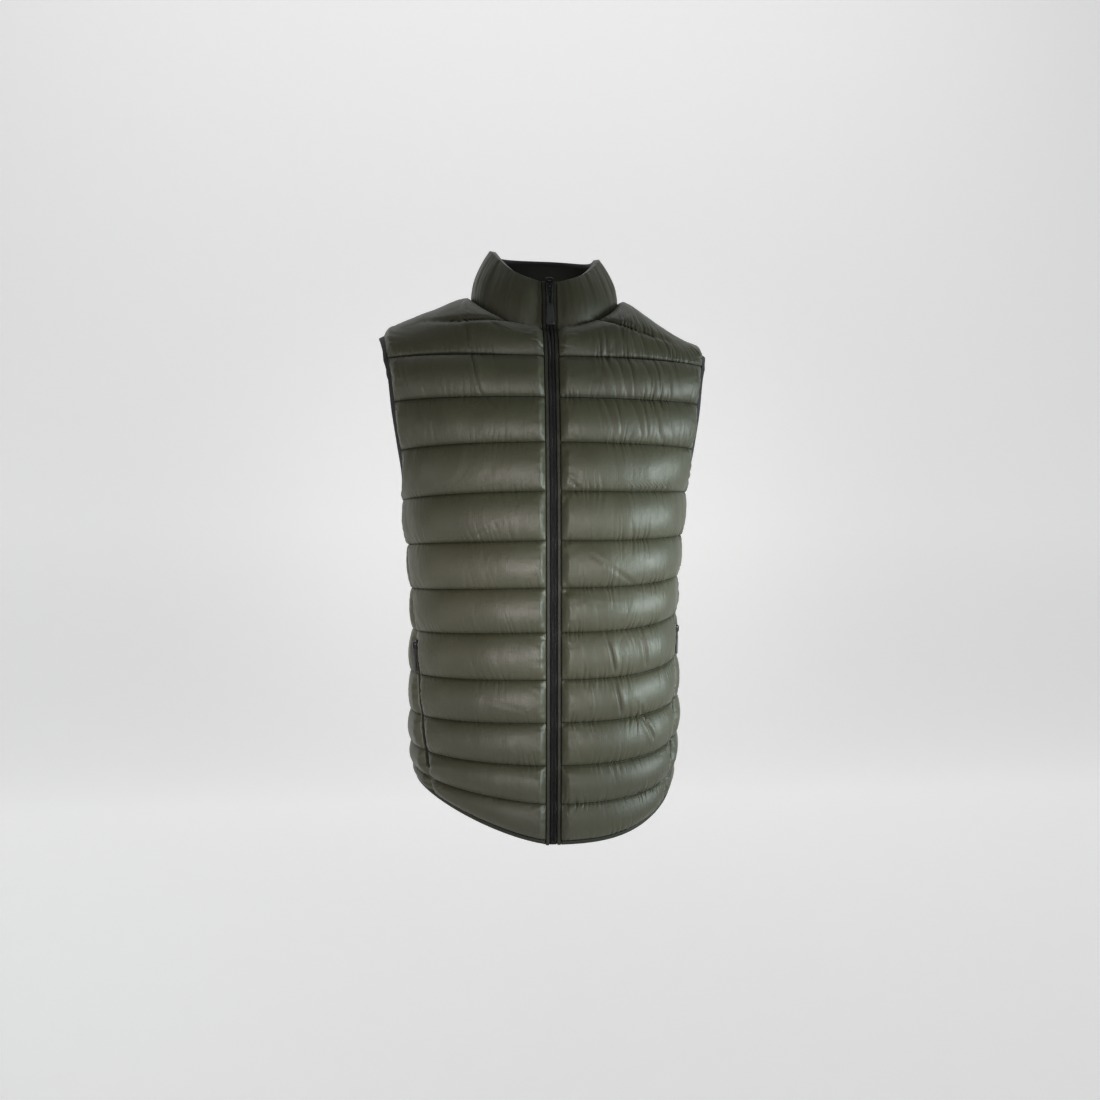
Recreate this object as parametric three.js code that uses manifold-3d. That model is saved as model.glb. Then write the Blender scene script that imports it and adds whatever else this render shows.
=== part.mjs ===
// A quilted puffer vest with a stand collar, a front zip and two zipped side pockets.
// Millimetres, +Z up, the front faces -Y, and the origin lies between the shoulders at the base of the neck.
// An angle round the body starts at the front centre and grows toward +X, so 180 degrees is the back centre.
import * as THREE from 'three';
import { mergeVertices } from 'three/addons/utils/BufferGeometryUtils.js';
import Module from 'manifold-3d';

const wasm = await Module();
wasm.setup();

// Cloth
const SEAM_GAP = 0.3; // between two pieces that are sewn together
const WALL_IN = 1.5; // the plain inside lies this far behind the seam surface
const WALL_OUT = 1.5; // the cloth in front of it where it is stitched down
const PUFF = 10.5; // how far a channel bulges past its stitch lines
const COLLAR_PUFF = 8;
const ROUNDNESS = 2.3; // exponent of the cross-sections, 2 being an ellipse
const EDGE_FADE = 20; // a channel flattens over this distance toward an edge
const SIDE_PUFF = 0.5; // share of the bulge left where the cloth faces sideways
const SIDE_FROM = 0.6; // it goes down from this share of facing sideways
const SAG = 1.08; // the filling hangs a little below the middle of a channel
const GATHER = { front_left: 0.4, front_right: 1.2, back: 0.8, collar: 1 }; // height of the puckers
const GATHER_CREST = 0.4; // share of it left at the middle of a channel

// Cross-sections of the body, measured on the stitch lines
const BODY = [
  { z: -690, half: 158, front: 124, back: 116 },
  { z: -635, half: 164, front: 127, back: 119 },
  { z: -580, half: 171, front: 129, back: 120 },
  { z: -490, half: 172, front: 130, back: 118 },
  { z: -430, half: 170, front: 130, back: 114 },
  { z: -380, half: 172, front: 130, back: 112 },
  { z: -320, half: 177, front: 129, back: 114 },
  { z: -265, half: 183, front: 127, back: 118 },
  { z: -240, half: 187, front: 125, back: 120 },
  { z: -200, half: 200, front: 121, back: 121 },
  { z: -150, half: 214, front: 112, back: 119 },
  { z: -90, half: 225, front: 99, back: 109 },
];

// Heights of the stitch lines at the front, the two sides and the back, and of the hem in the last row
const LINES = [
  { front: -96, left: -92, right: -95, back: -92 },
  { front: -148, left: -148, right: -144, back: -145 },
  { front: -203, left: -208, right: -202, back: -202 },
  { front: -262, left: -268, right: -256, back: -259 },
  { front: -321, left: -325, right: -312, back: -316 },
  { front: -377, left: -381, right: -364, back: -371 },
  { front: -430, left: -434, right: -412, back: -423 },
  { front: -486, left: -487, right: -466, back: -477 },
  { front: -537, left: -537, right: -519, back: -529 },
  { front: -588, left: -578, right: -566, back: -579 },
  { front: -634, left: -606, right: -609, back: -626 },
  { front: -678, left: -617, right: -630, back: -662 },
];
const HEM = LINES.length - 1;
const LINE_CURVE = { left: 1.2, right: 3 }; // how late a line turns to its height at the side

// Angle of the side seam, which swings forward below the waist
const SIDE_SEAM = [
  { z: -660, left: 53, right: 58 },
  { z: -600, left: 58, right: 61 },
  { z: -540, left: 63, right: 64 },
  { z: -450, left: 71, right: 70 },
  { z: -380, left: 79, right: 78 },
  { z: -300, left: 85, right: 85 },
  { z: -240, left: 88, right: 88 },
];

// Armholes, from the tip of the shoulder to the side seam
const ARM_BOTTOM = { left: -262, right: -250 };
const ARM_TOP = -50;
const ARM_HALF_WIDTH = 60;
const ARM_ROUNDNESS = 2.6;
const ARM_TURN = 2.5; // the level at which an armhole's edge turns under the arm

// Neckline, where the collar is sewn on
const NECK_HALF = 95;
const NECK_FRONT = 80;
const NECK_BACK = 66;
const NECK_FRONT_Z = -61;
const NECK_SIDE_Z = -6;
const NECK_BACK_Z = 2;

// The ridge of each shoulder runs from the neckline to its tip
const SHOULDER_TIP = 209;
const SHOULDER_TIP_Z = { left: -55, right: -71 };
const RIDGE_RISE = { left: -1, right: -8 }; // how far its middle rises
const SHOULDER_LINE = { x: 95, z: -37, slope: 0.25 }; // where it meets the collar, and its fall outward
const SHOULDER_BEND = { x: 0.4, y: 0.22, z: 0.84 }; // where the shoulder band bends, as shares of its way

// Upper edge of the collar
const TOP_HALF = 67;
const TOP_FRONT = 70;
const TOP_BACK = 66;
const TOP_FRONT_Z = 3;
const TOP_SIDE_Z = { left: 61, right: 54 };
const TOP_BACK_Z = 72;
const TOP_CURVE = { front: 1.5, back: 1.4 };
const COLLAR_ROWS = [1, 0.9, 0.72, 0.5, 0.28, 0.1, 0]; // from its upper edge to the neckline
const COLLAR_MIDDLE = COLLAR_ROWS.indexOf(0.5);
const COLLAR_ROLL = 0.9; // share of its bulge passed at the upper edge, which stays thick
const COLLAR_QUARTER = 130; // its length from the zip to the shoulder

// Front zip
const STRIP_HALF = 9.6; // from the centre to the edge of a front
const CHAIN_HALF = 4.5;
const CHAIN_OUT = 2.2;
const TAPE_BACK = -2; // the tape lies behind the seam surface
const TAPE_FRONT = -1;
const WELT_OUT = 2.2;
const WELT_IN = -0.7;

// Pocket zips, in the side seams
const POCKET_TOP = 6.2; // as a level, where whole numbers are stitch lines
const POCKET_BOTTOM = 9.5;
const POCKET_TAPER = 0.2;
const POCKET_END = 0.05; // the zip ends this far inside its opening
const POCKET_HALF = 4.2;
const POCKET_ZIP_HALF = 4;
const POCKET_ZIP_IN = -1.4;
const POCKET_ZIP_OUT = 1;
const POCKET_SLIDER = 6.33;

// Trim
const BINDING_WIDTH = 8;
const HEM_WIDTH = 5;
const TRIM_IN = 2.2;
const TRIM_OUT = 2.7;
const TRIM_ROUND = 1.2;

// Sliders and pulls
const FRONT_SLIDER = { width: 10.5, length: 17, lift: 2.5 };
const POCKET_SLIDER_SIZE = { width: 7.6, length: 12, lift: 1.5 };
const SLIDER_THICK = 3.2;
const BRIDGE = { wide: 3, high: 4.6, long: 9 };
const FRONT_PULL = { width: 9, link: 27, grip: 26, gripWidth: 10.4, thick: 1.6, gripThick: 3 };
const POCKET_PULL = { width: 7.6, link: 15, grip: 18, gripWidth: 8.2, thick: 1.6, gripThick: 2.8 };
const PULL_RAIL = 1.7; // width of the link's rails
const BAR_HEIGHT = SLIDER_THICK + 1.35; // the pull's bar, above the slider's underside
const BAR_PLACE = -1.5; // and along the slider
const SLIDER_Z = -1;

const shell = new THREE.MeshStandardMaterial({ color: 0x565945, roughness: 0.42, metalness: 0 });
const binding = new THREE.MeshStandardMaterial({ color: 0x17171a, roughness: 0.75, metalness: 0 });
const tape = new THREE.MeshStandardMaterial({ color: 0x1c1b20, roughness: 0.6, metalness: 0 });
const slider = new THREE.MeshStandardMaterial({ color: 0x1b1b1d, roughness: 0.35, metalness: 0.5 });
const grip = new THREE.MeshStandardMaterial({ color: 0x202123, roughness: 0.55, metalness: 0 });

const vec = (x, y, z) => new THREE.Vector3(x, y, z);
const radians = THREE.MathUtils.degToRad;
const mix = THREE.MathUtils.lerp;
const smooth = (v) => THREE.MathUtils.smoothstep(v, 0, 1);
const power = (v, p) => Math.sign(v) * Math.abs(v) ** p;
const sideName = (angle) => (angle < 0 ? 'left' : 'right');

// A value from a table whose rows rise in z, by a smooth curve through them
function lookup(table, column, z) {
  let i = 0;
  while (i < table.length - 2 && z > table[i + 1].z) i += 1;
  const slope = (k) => {
    const a = table[Math.max(k - 1, 0)];
    const b = table[Math.min(k + 1, table.length - 1)];
    return (b[column] - a[column]) / (b.z - a.z);
  };
  const [a, b] = [table[i], table[i + 1]];
  const width = b.z - a.z;
  const f = THREE.MathUtils.clamp((z - a.z) / width, 0, 1);
  const g = 1 - f;
  return g * g * (1 + 2 * f) * a[column] + f * f * (3 - 2 * f) * b[column]
    + width * f * g * (g * slope(i) - f * slope(i + 1));
}

// Superellipse through half, front and back
function ring(angle, half, front, back) {
  const x = half * power(Math.sin(angle), 2 / ROUNDNESS);
  const c = Math.cos(angle);
  return [x, -(c > 0 ? front : back) * power(c, 2 / ROUNDNESS)];
}

// A point of the seam surface of the body
function bodyPoint(angle, z) {
  const [x, y] = ring(angle, lookup(BODY, 'half', z), lookup(BODY, 'front', z), lookup(BODY, 'back', z));
  return vec(x, y, z);
}

function bodyNormal(angle, z) {
  const turn = 0.01;
  const around = bodyPoint(angle + turn, z).sub(bodyPoint(angle - turn, z));
  const up = bodyPoint(angle, z + 3).sub(bodyPoint(angle, z - 3));
  return around.cross(up).normalize();
}

// Height of a level, where whole numbers are stitch lines and fractions lie between them
function levelZ(level, angle) {
  const k = Math.min(Math.floor(level), HEM - 1);
  const side = sideName(Math.sin(angle));
  const share = Math.abs(Math.sin(angle)) ** LINE_CURVE[side];
  const middle = Math.cos(angle) > 0 ? 'front' : 'back';
  const line = (row) => mix(row[middle], row[side], share);
  return mix(line(LINES[k]), line(LINES[k + 1]), level - k);
}

// How wide the side seam opens for a pocket's zip, on each side of its centre
function pocketOpening(level) {
  const top = smooth((level - POCKET_TOP) / POCKET_TAPER + 1);
  const bottom = smooth((POCKET_BOTTOM - level) / POCKET_TAPER + 1);
  return POCKET_HALF * top * bottom;
}

// Angle of the seam's centre at a level; turn is -1 for the left side and 1 for the right
function seamAngle(turn, level) {
  const z = levelZ(level, turn * Math.PI / 2);
  return turn * radians(lookup(SIDE_SEAM, turn < 0 ? 'left' : 'right', z));
}

// Angle of a panel's outer edge; facing is -1 for a front and 1 for the back
function edgeAngle(turn, facing, level) {
  const z = levelZ(level, turn * Math.PI / 2);
  const bottom = ARM_BOTTOM[sideName(turn)];
  if (z > bottom) {
    const middle = (ARM_TOP + bottom) / 2;
    const q = Math.abs(z - middle) / (ARM_TOP - middle);
    const reach = ARM_HALF_WIDTH * (1 - q ** ARM_ROUNDNESS) ** (1 / ARM_ROUNDNESS);
    const depth = lookup(BODY, facing < 0 ? 'front' : 'back', z);
    return turn * (Math.PI / 2 + facing * Math.asin((reach / depth) ** (ROUNDNESS / 2)));
  }
  const centre = seamAngle(turn, level);
  const speed = bodyPoint(centre + 0.01, z).distanceTo(bodyPoint(centre - 0.01, z)) / 0.02;
  return centre + turn * facing * (SEAM_GAP / 2 + pocketOpening(level)) / speed;
}

// The neckline, by an angle that starts at the front centre
function neckPoint(angle) {
  const [x, y] = ring(angle, NECK_HALF, NECK_FRONT, NECK_BACK);
  const c = Math.cos(angle);
  const z = mix(NECK_SIDE_Z, c > 0 ? NECK_FRONT_Z : NECK_BACK_Z, Math.abs(c) ** 1.5);
  return vec(x, y, z);
}

// The way across the thickness of the seam between a panel and the collar
function neckNormal(angle) {
  const lift = 0.45 + 0.3 * Math.sin(angle) ** 2;
  return vec(Math.sin(angle), -Math.cos(angle), lift).normalize();
}

function collarTop(angle) {
  const [x, y] = ring(angle, TOP_HALF, TOP_FRONT, TOP_BACK);
  const c = Math.cos(angle);
  const share = Math.abs(c) ** (c > 0 ? TOP_CURVE.front : TOP_CURVE.back);
  return vec(x, y, mix(TOP_SIDE_Z[sideName(x)], c > 0 ? TOP_FRONT_Z : TOP_BACK_Z, share));
}

// The shoulder's ridge, from 0 at the neckline to 1 at its tip
function ridgePoint(turn, along) {
  const side = sideName(turn);
  const z = mix(NECK_SIDE_Z, SHOULDER_TIP_Z[side], along) + RIDGE_RISE[side] * Math.sin(Math.PI * along);
  return vec(turn * mix(NECK_HALF, SHOULDER_TIP, along), 0, z);
}

function ridgeNormal(turn, along) {
  const lean = mix(0.45, 0.75, Math.exp(-along * 6));
  return vec(turn * lean, 0, 1 - lean * lean * 0.6).normalize();
}

// Angle at which a ring of this half width is a given distance from the centre plane
const angleAt = (x, half) => Math.asin((x / half) ** (ROUNDNESS / 2));

// Columns of a front or of half the back: some end at the neckline and the rest on the ridge
const NECK_COLUMNS = 7;
const RIDGE_COLUMNS = 8;
const NECK_SHARE = 0.44;
const panelColumns = [];
for (let i = 0; i < NECK_COLUMNS; i += 1) {
  panelColumns.push({ across: NECK_SHARE * i / NECK_COLUMNS, neck: i / NECK_COLUMNS });
}
for (let i = 0; i <= RIDGE_COLUMNS; i += 1) {
  panelColumns.push({ across: mix(NECK_SHARE, 1, i / RIDGE_COLUMNS), ridge: i / RIDGE_COLUMNS });
}

// Rows: the shoulder band above the first stitch line, then the channels down to the hem
const BAND_STEPS = [1, 0.86, 0.68, 0.5, 0.32, 0.14];
const CHANNEL_STEPS = [0, 0.22, 0.5, 0.78];
const panelRows = BAND_STEPS.map((band) => ({ band, level: 0 }));
for (let k = 0; k < HEM; k += 1) CHANNEL_STEPS.forEach((step) => panelRows.push({ band: 0, level: k + step }));
panelRows.push({ band: 0, level: HEM });

// A point of a panel's seam surface with the way out of the cloth.
// facing is -1 for a front and 1 for the back, turn the side, column.across 0 at the centre and 1 at the edge.
function panelPoint(facing, turn, column, row) {
  const back = facing > 0;
  const edge = edgeAngle(turn, facing, row.level);
  const z0 = levelZ(row.level, back ? Math.PI : 0);
  const start = back ? turn * Math.PI : turn * angleAt(STRIP_HALF, lookup(BODY, 'half', z0));
  const angle = mix(start, edge, column.across);
  const z = levelZ(row.level, angle);
  const low = bodyPoint(angle, z);
  const lowNormal = bodyNormal(angle, z);
  if (row.band === 0) return { point: low, normal: lowNormal };
  let high;
  let highNormal;
  if (column.ridge === undefined) {
    const first = back ? Math.PI : angleAt(STRIP_HALF, NECK_HALF);
    const neck = turn * mix(first, Math.PI / 2, column.neck);
    high = neckPoint(neck);
    highNormal = neckNormal(neck);
  } else {
    high = ridgePoint(turn, column.ridge);
    high.y = facing * SEAM_GAP / 2;
    highNormal = ridgeNormal(turn, column.ridge);
  }
  const bend = (axis) => mix(low[axis], high[axis], SHOULDER_BEND[axis]);
  const control = vec(bend('x'), bend('y'), bend('z'));
  const f = row.band;
  const point = low.multiplyScalar((1 - f) ** 2);
  point.addScaledVector(control, 2 * f * (1 - f)).addScaledVector(high, f * f);
  return { point, normal: lowNormal.lerp(highNormal, smooth(f)).normalize() };
}

// How far a channel stands out at a place, before it fades toward the panel's edges
function channelShape(row, point) {
  if (row.band > 0) {
    const line = SHOULDER_LINE.z - SHOULDER_LINE.slope * (Math.abs(point.x) - SHOULDER_LINE.x);
    const groove = smooth(Math.abs(point.z - line) / PUFF);
    return Math.sin(Math.PI * row.band) ** 0.6 * mix(0.35, 0.8, groove);
  }
  const f = row.level % 1;
  return Math.sin(Math.PI * f ** SAG) ** 0.6 * (Math.floor(row.level) === HEM - 1 ? 0.75 : 1);
}

// Puckers: every other column stands out, the other way round in the next channel; share runs down a channel
function pucker(index, channel, share, height) {
  if (share === 0 || share === 1) return 0;
  const side = (index + channel) % 2 === 0 ? 0.5 : -0.5;
  return side * height * mix(1, GATHER_CREST, Math.sin(Math.PI * share));
}

// A closed body from two grids of points whose columns run toward +X at the front, joined round their edges
class Solid {
  constructor() {
    this.points = [];
    this.faces = [];
  }

  add(point) {
    this.points.push(point.x, point.y, point.z);
    return this.points.length / 3 - 1;
  }

  skin(grid, inside) {
    for (let r = 0; r + 1 < grid.length; r += 1) {
      for (let c = 0; c + 1 < grid[r].length; c += 1) {
        const [a, b, d, e] = [grid[r][c], grid[r + 1][c], grid[r + 1][c + 1], grid[r][c + 1]];
        if (inside) this.faces.push(a, d, b, a, e, d);
        else this.faces.push(a, b, d, a, d, e);
      }
    }
  }

  // Joins two edges that may differ in their number of points
  rim(outer, inner) {
    const [n, m] = [outer.length - 1, inner.length - 1];
    let i = 0;
    let j = 0;
    while (i < n || j < m) {
      if (j === m || (i < n && (i + 1) * m <= (j + 1) * n)) {
        this.faces.push(outer[i], outer[i + 1], inner[j]);
        i += 1;
      } else {
        this.faces.push(outer[i], inner[j + 1], inner[j]);
        j += 1;
      }
    }
  }

  // The inside keeps its edges and only some of the points between them
  wall(outer, inner, keepRow, keepColumn) {
    const edges = (grid) => [
      grid[0],
      grid.map((row) => row[row.length - 1]),
      [...grid[grid.length - 1]].reverse(),
      grid.map((row) => row[0]).reverse(),
    ];
    const isEdge = (list, k) => k === 0 || k === list.length - 1;
    const out = outer.map((row) => row.map((p) => this.add(p)));
    const inn = inner.map((row, r) => row.map((p, c) => {
      const kept = isEdge(inner, r) || isEdge(row, c) || (keepRow(r) && keepColumn(c));
      return kept ? this.add(p) : undefined;
    }));
    const plain = inn.filter((row, r) => !isEdge(inn, r) && keepRow(r))
      .map((row) => row.filter((id, c) => !isEdge(row, c) && keepColumn(c)));
    this.skin(out, false);
    this.skin(plain, true);
    const [outEdges, innEdges, plainEdges] = [out, inn, plain].map(edges);
    outEdges.forEach((edge, k) => {
      this.rim(edge, innEdges[k]);
      this.rim(innEdges[k], plainEdges[k]);
    });
    return this;
  }

  geometry() {
    const geometry = new THREE.BufferGeometry();
    geometry.setAttribute('position', new THREE.Float32BufferAttribute(this.points, 3));
    geometry.setIndex(this.faces);
    return geometry;
  }
}

const moved = ({ point, normal }, distance) => point.clone().addScaledVector(normal, distance);

// Rows of outer or inner points of a panel; its columns run toward +X at the front
function panelGrid(facing, columns, rows, offset) {
  return rows.map((row) => {
    const places = columns.map(({ turn, column }) => panelPoint(facing, turn, column, row));
    const walk = [0];
    for (let i = 1; i < places.length; i += 1) {
      walk.push(walk[i - 1] + places[i].point.distanceTo(places[i - 1].point));
    }
    return places.map((place, i) => {
      const edge = Math.min(walk[i], walk[places.length - 1] - walk[i]);
      return moved(place, offset(row, { ...place, index: i }, edge));
    });
  });
}

function panel(facing, columns, gather) {
  const puffed = (row, { point, normal, index }, edge) => {
    const fade = mix(0.12, 1, smooth(edge / EDGE_FADE) ** 0.7);
    const aside = smooth((Math.abs(normal.x) - SIDE_FROM) / (1 - SIDE_FROM));
    const share = row.band > 0 ? 1 - row.band : row.level % 1;
    const raised = PUFF * channelShape(row, point) * mix(1, SIDE_PUFF, aside);
    return WALL_OUT + fade * (raised + pucker(index, Math.floor(row.level), share, gather));
  };
  const outer = panelGrid(facing, columns, panelRows, puffed);
  const inner = panelGrid(facing, columns, panelRows, () => -WALL_IN);
  const keepRow = (r) => {
    const { band, level } = panelRows[r];
    return band === 0.5 || level === ARM_TURN || (band === 0 && Number.isInteger(level));
  };
  return new Solid().wall(outer, inner, keepRow, (c) => c % 2 === 0).geometry();
}

const withTurn = (turn, list) => list.map((column) => ({ turn, column }));

function frontPanel(turn) {
  const columns = withTurn(turn, panelColumns);
  return panel(-1, turn < 0 ? columns.reverse() : columns, GATHER[`front_${sideName(turn)}`]);
}

// The back runs from the right side seam to the left one
function backPanel() {
  const columns = [...withTurn(1, panelColumns).reverse(), ...withTurn(-1, panelColumns).slice(1)];
  return panel(1, columns, GATHER.back);
}

// The collar shares the neckline's columns with the panels that it is sewn to.
// Its stations run from the right of the zip over the right shoulder, the back and the left shoulder.
const quarter = Array.from({ length: NECK_COLUMNS + 1 }, (_, i) => i / NECK_COLUMNS);
const stationsOf = (facing, turn, necks) => necks.map((neck) => ({ facing, turn, neck }));
const collarStations = [
  ...stationsOf(-1, 1, quarter),
  ...stationsOf(1, 1, quarter.toReversed().slice(1)),
  ...stationsOf(1, -1, quarter.slice(1)),
  ...stationsOf(-1, -1, quarter.toReversed().slice(1)),
];

function collarPoint({ facing, turn, neck }, high) {
  const start = (half) => (facing > 0 ? Math.PI : angleAt(STRIP_HALF, half));
  const low = turn * mix(start(NECK_HALF), Math.PI / 2, neck);
  const top = turn * mix(start(TOP_HALF), Math.PI / 2, neck);
  const point = neckPoint(low).lerp(collarTop(top), high);
  const lean = vec(Math.sin(top), -Math.cos(top), 0.12).normalize();
  const normal = neckNormal(low).lerp(lean, smooth(high * 1.6)).normalize();
  point.z += SEAM_GAP * (1 - high) * 1.6;
  return { point, normal };
}

function collar() {
  const grid = (offset) => COLLAR_ROWS.map((high) => collarStations.map((station, index) => {
    const fromZip = station.facing < 0 ? station.neck * COLLAR_QUARTER : EDGE_FADE;
    return moved(collarPoint(station, high), offset(high, fromZip, index));
  }));
  const puffed = (high, edge, index) => {
    const crest = COLLAR_PUFF * Math.sin(Math.PI * high * COLLAR_ROLL) ** 0.6;
    const raised = crest + pucker(index, 0, high, GATHER.collar);
    return WALL_OUT + raised * mix(0.15, 1, smooth(edge / EDGE_FADE));
  };
  const [outer, inner] = [grid(puffed), grid(() => -WALL_IN)];
  return new Solid().wall(outer, inner, (r) => r === COLLAR_MIDDLE, (c) => c % 2 === 0).geometry();
}

// A strip with one section along a route of { point, out, side }, its section given in out and side
function strip(route, outline, closed) {
  const flat = outline.map(([o, s]) => new THREE.Vector2(o, s));
  const section = THREE.ShapeUtils.isClockWise(flat) ? [...outline].reverse() : outline;
  const solid = new Solid();
  const loops = route.map(({ point, out, side }) => section.map(([o, s]) => solid.add(
    point.clone().addScaledVector(out, o).addScaledVector(side, s),
  )));
  const count = section.length;
  const spans = closed ? route.length : route.length - 1;
  for (let r = 0; r < spans; r += 1) {
    const [a, b] = [loops[r], loops[(r + 1) % route.length]];
    for (let k = 0; k < count; k += 1) {
      const next = (k + 1) % count;
      solid.faces.push(a[k], b[k], b[next], a[k], b[next], a[next]);
    }
  }
  if (!closed) {
    const ordered = section.map(([o, s]) => new THREE.Vector2(o, s));
    THREE.ShapeUtils.triangulateShape(ordered, []).forEach(([a, b, c]) => {
      const last = loops[loops.length - 1];
      solid.faces.push(loops[0][a], loops[0][b], loops[0][c], last[a], last[c], last[b]);
    });
  }
  return facedOut(solid);
}

// Turns every face over when the body came out inside out
function facedOut(solid) {
  const at = (i) => vec(solid.points[3 * i], solid.points[3 * i + 1], solid.points[3 * i + 2]);
  let volume = 0;
  for (let i = 0; i < solid.faces.length; i += 3) {
    const [a, b, c] = [0, 1, 2].map((k) => at(solid.faces[i + k]));
    volume += a.dot(b.cross(c));
  }
  if (volume < 0) solid.faces.reverse();
  return solid.geometry();
}

// Way along a route at each of its points
function alongRoute(points, closed) {
  const n = points.length;
  return points.map((p, i) => {
    const next = closed ? points[(i + 1) % n] : points[Math.min(i + 1, n - 1)];
    const before = closed ? points[(i + n - 1) % n] : points[Math.max(i - 1, 0)];
    const ahead = next.clone().sub(p).normalize();
    return ahead.add(p.clone().sub(before).normalize()).normalize();
  });
}

// The armhole's edge, down its front and up its back, from the points of the panels that it binds
function armholeBinding(turn) {
  const outer = panelColumns[panelColumns.length - 1];
  const lowest = ARM_BOTTOM[sideName(turn)];
  const rows = panelRows.filter((row) => row.band > 0 || levelZ(row.level, turn * Math.PI / 2) > lowest);
  const front = rows.map((row) => panelPoint(-1, turn, outer, row));
  const back = rows.slice(1).map((row) => panelPoint(1, turn, outer, row));
  const lowLevel = panelRows[panelRows.indexOf(rows[rows.length - 1]) + 1].level;
  const bottom = panelPoint(-1, turn, outer, { band: 0, level: lowLevel });
  const places = [...front, bottom, ...back.reverse()];
  const points = places.map((place) => place.point);
  const ways = alongRoute(points, true);
  const route = places.map(({ point, normal }, i) => {
    const ahead = points[(i + 1) % points.length].clone().sub(point).normalize();
    const corner = Math.max(ways[i].dot(ahead), 0.75);
    const side = normal.clone().cross(ways[i]).normalize().multiplyScalar(turn / corner);
    return { point, out: normal, side };
  });
  const section = [
    [-TRIM_IN, SEAM_GAP],
    [TRIM_OUT, SEAM_GAP],
    [TRIM_OUT, BINDING_WIDTH - TRIM_ROUND],
    [TRIM_OUT - TRIM_ROUND, BINDING_WIDTH],
    [-TRIM_IN + TRIM_ROUND, BINDING_WIDTH],
    [-TRIM_IN, BINDING_WIDTH - TRIM_ROUND],
  ];
  return strip(turn < 0 ? route.reverse() : route, section, true);
}

// The hem's edge, from the right of the zip round the back to the left of it
function hemBinding() {
  const row = { band: 0, level: HEM };
  const places = [
    ...withTurn(1, panelColumns).map((c) => panelPoint(-1, 1, c.column, row)),
    ...withTurn(1, panelColumns).reverse().slice(1).map((c) => panelPoint(1, 1, c.column, row)),
    ...withTurn(-1, panelColumns).slice(1, -1).map((c) => panelPoint(1, -1, c.column, row)),
    ...withTurn(-1, panelColumns).reverse().map((c) => panelPoint(-1, -1, c.column, row)),
  ];
  const ways = alongRoute(places.map((place) => place.point), false);
  const route = places.map(({ point, normal }, i) => {
    return { point, out: normal, side: ways[i].clone().cross(normal).normalize() };
  });
  const down = route[0].side.z < 0 ? 1 : -1;
  const section = [[-TRIM_IN, SEAM_GAP], [TRIM_OUT, SEAM_GAP], [TRIM_OUT, HEM_WIDTH], [-TRIM_IN, HEM_WIDTH]];
  return strip(route, section.map(([o, s]) => [o, s * down]), false);
}

// The centre line of the front zip, from the top of the collar to the hem
function zipRoute() {
  const first = { across: 0, neck: 0 };
  const places = [1, 0.75, 0.5, 0.25].map((high) => collarPoint({ facing: -1, turn: 1, neck: 0 }, high));
  const rows = [{ band: 1, level: 0 }, { band: 0.5, level: 0 }];
  for (let k = 0; k <= HEM; k += 1) rows.push({ band: 0, level: k });
  rows.forEach((row) => places.push(panelPoint(-1, 1, first, row)));
  const points = places.map(({ point }) => vec(0, point.y, point.z));
  points[points.length - 1].z -= HEM_WIDTH;
  const ways = alongRoute(points, false);
  const side = vec(1, 0, 0);
  return points.map((point, i) => ({ point, side, out: ways[i].clone().cross(side) }));
}

function frontZip() {
  const wide = STRIP_HALF - SEAM_GAP;
  const section = [
    [TAPE_BACK, -wide],
    [TAPE_FRONT, -wide],
    [TAPE_FRONT, -CHAIN_HALF],
    [CHAIN_OUT, -CHAIN_HALF],
    [CHAIN_OUT, CHAIN_HALF],
    [TAPE_FRONT, CHAIN_HALF],
    [TAPE_FRONT, wide],
    [TAPE_BACK, wide],
  ];
  return strip(zipRoute(), section, false);
}

function zipWelt(turn) {
  const [near, far] = [CHAIN_HALF + SEAM_GAP, STRIP_HALF - SEAM_GAP];
  const section = [
    [WELT_IN, near],
    [WELT_OUT - 0.5, near],
    [WELT_OUT, near + 1],
    [WELT_OUT, far - 1.2],
    [0.6, far],
    [WELT_IN, far],
  ];
  return strip(zipRoute(), section.map(([o, s]) => [o, s * turn]), false);
}

// A place on the side seam's centre at a level, with the ways out of the cloth, down the seam and across it
function seamPlace(turn, level) {
  const at = (where) => bodyPoint(seamAngle(turn, where), levelZ(where, seamAngle(turn, where)));
  const way = at(level + 0.1).sub(at(level - 0.1)).normalize();
  const out = bodyNormal(seamAngle(turn, level), levelZ(level, seamAngle(turn, level)));
  out.addScaledVector(way, -out.dot(way)).normalize();
  return { point: at(level), out, way, side: way.clone().cross(out).normalize() };
}

function pocketZip(turn) {
  const inOpening = (level) => level > POCKET_TOP && level < POCKET_BOTTOM;
  const between = panelRows.map((row) => row.level).filter(inOpening);
  const levels = [POCKET_TOP + POCKET_END, ...between, POCKET_BOTTOM - POCKET_END];
  const route = levels.map((level) => seamPlace(turn, level));
  const section = [
    [POCKET_ZIP_IN, -POCKET_ZIP_HALF],
    [POCKET_ZIP_OUT, -POCKET_ZIP_HALF],
    [POCKET_ZIP_OUT, POCKET_ZIP_HALF],
    [POCKET_ZIP_IN, POCKET_ZIP_HALF],
  ];
  return strip(turn > 0 ? route.reverse() : route, section, false);
}

// Hardware is modelled lying flat: X across the zip, -Y down it and Z out of the cloth
function toManifold(geometry) {
  geometry.deleteAttribute('normal');
  geometry.deleteAttribute('uv');
  const merged = mergeVertices(geometry, 1e-4);
  return new wasm.Manifold(new wasm.Mesh({
    numProp: 3,
    vertProperties: new Float32Array(merged.attributes.position.array),
    triVerts: new Uint32Array(merged.index.array),
  }));
}

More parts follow.
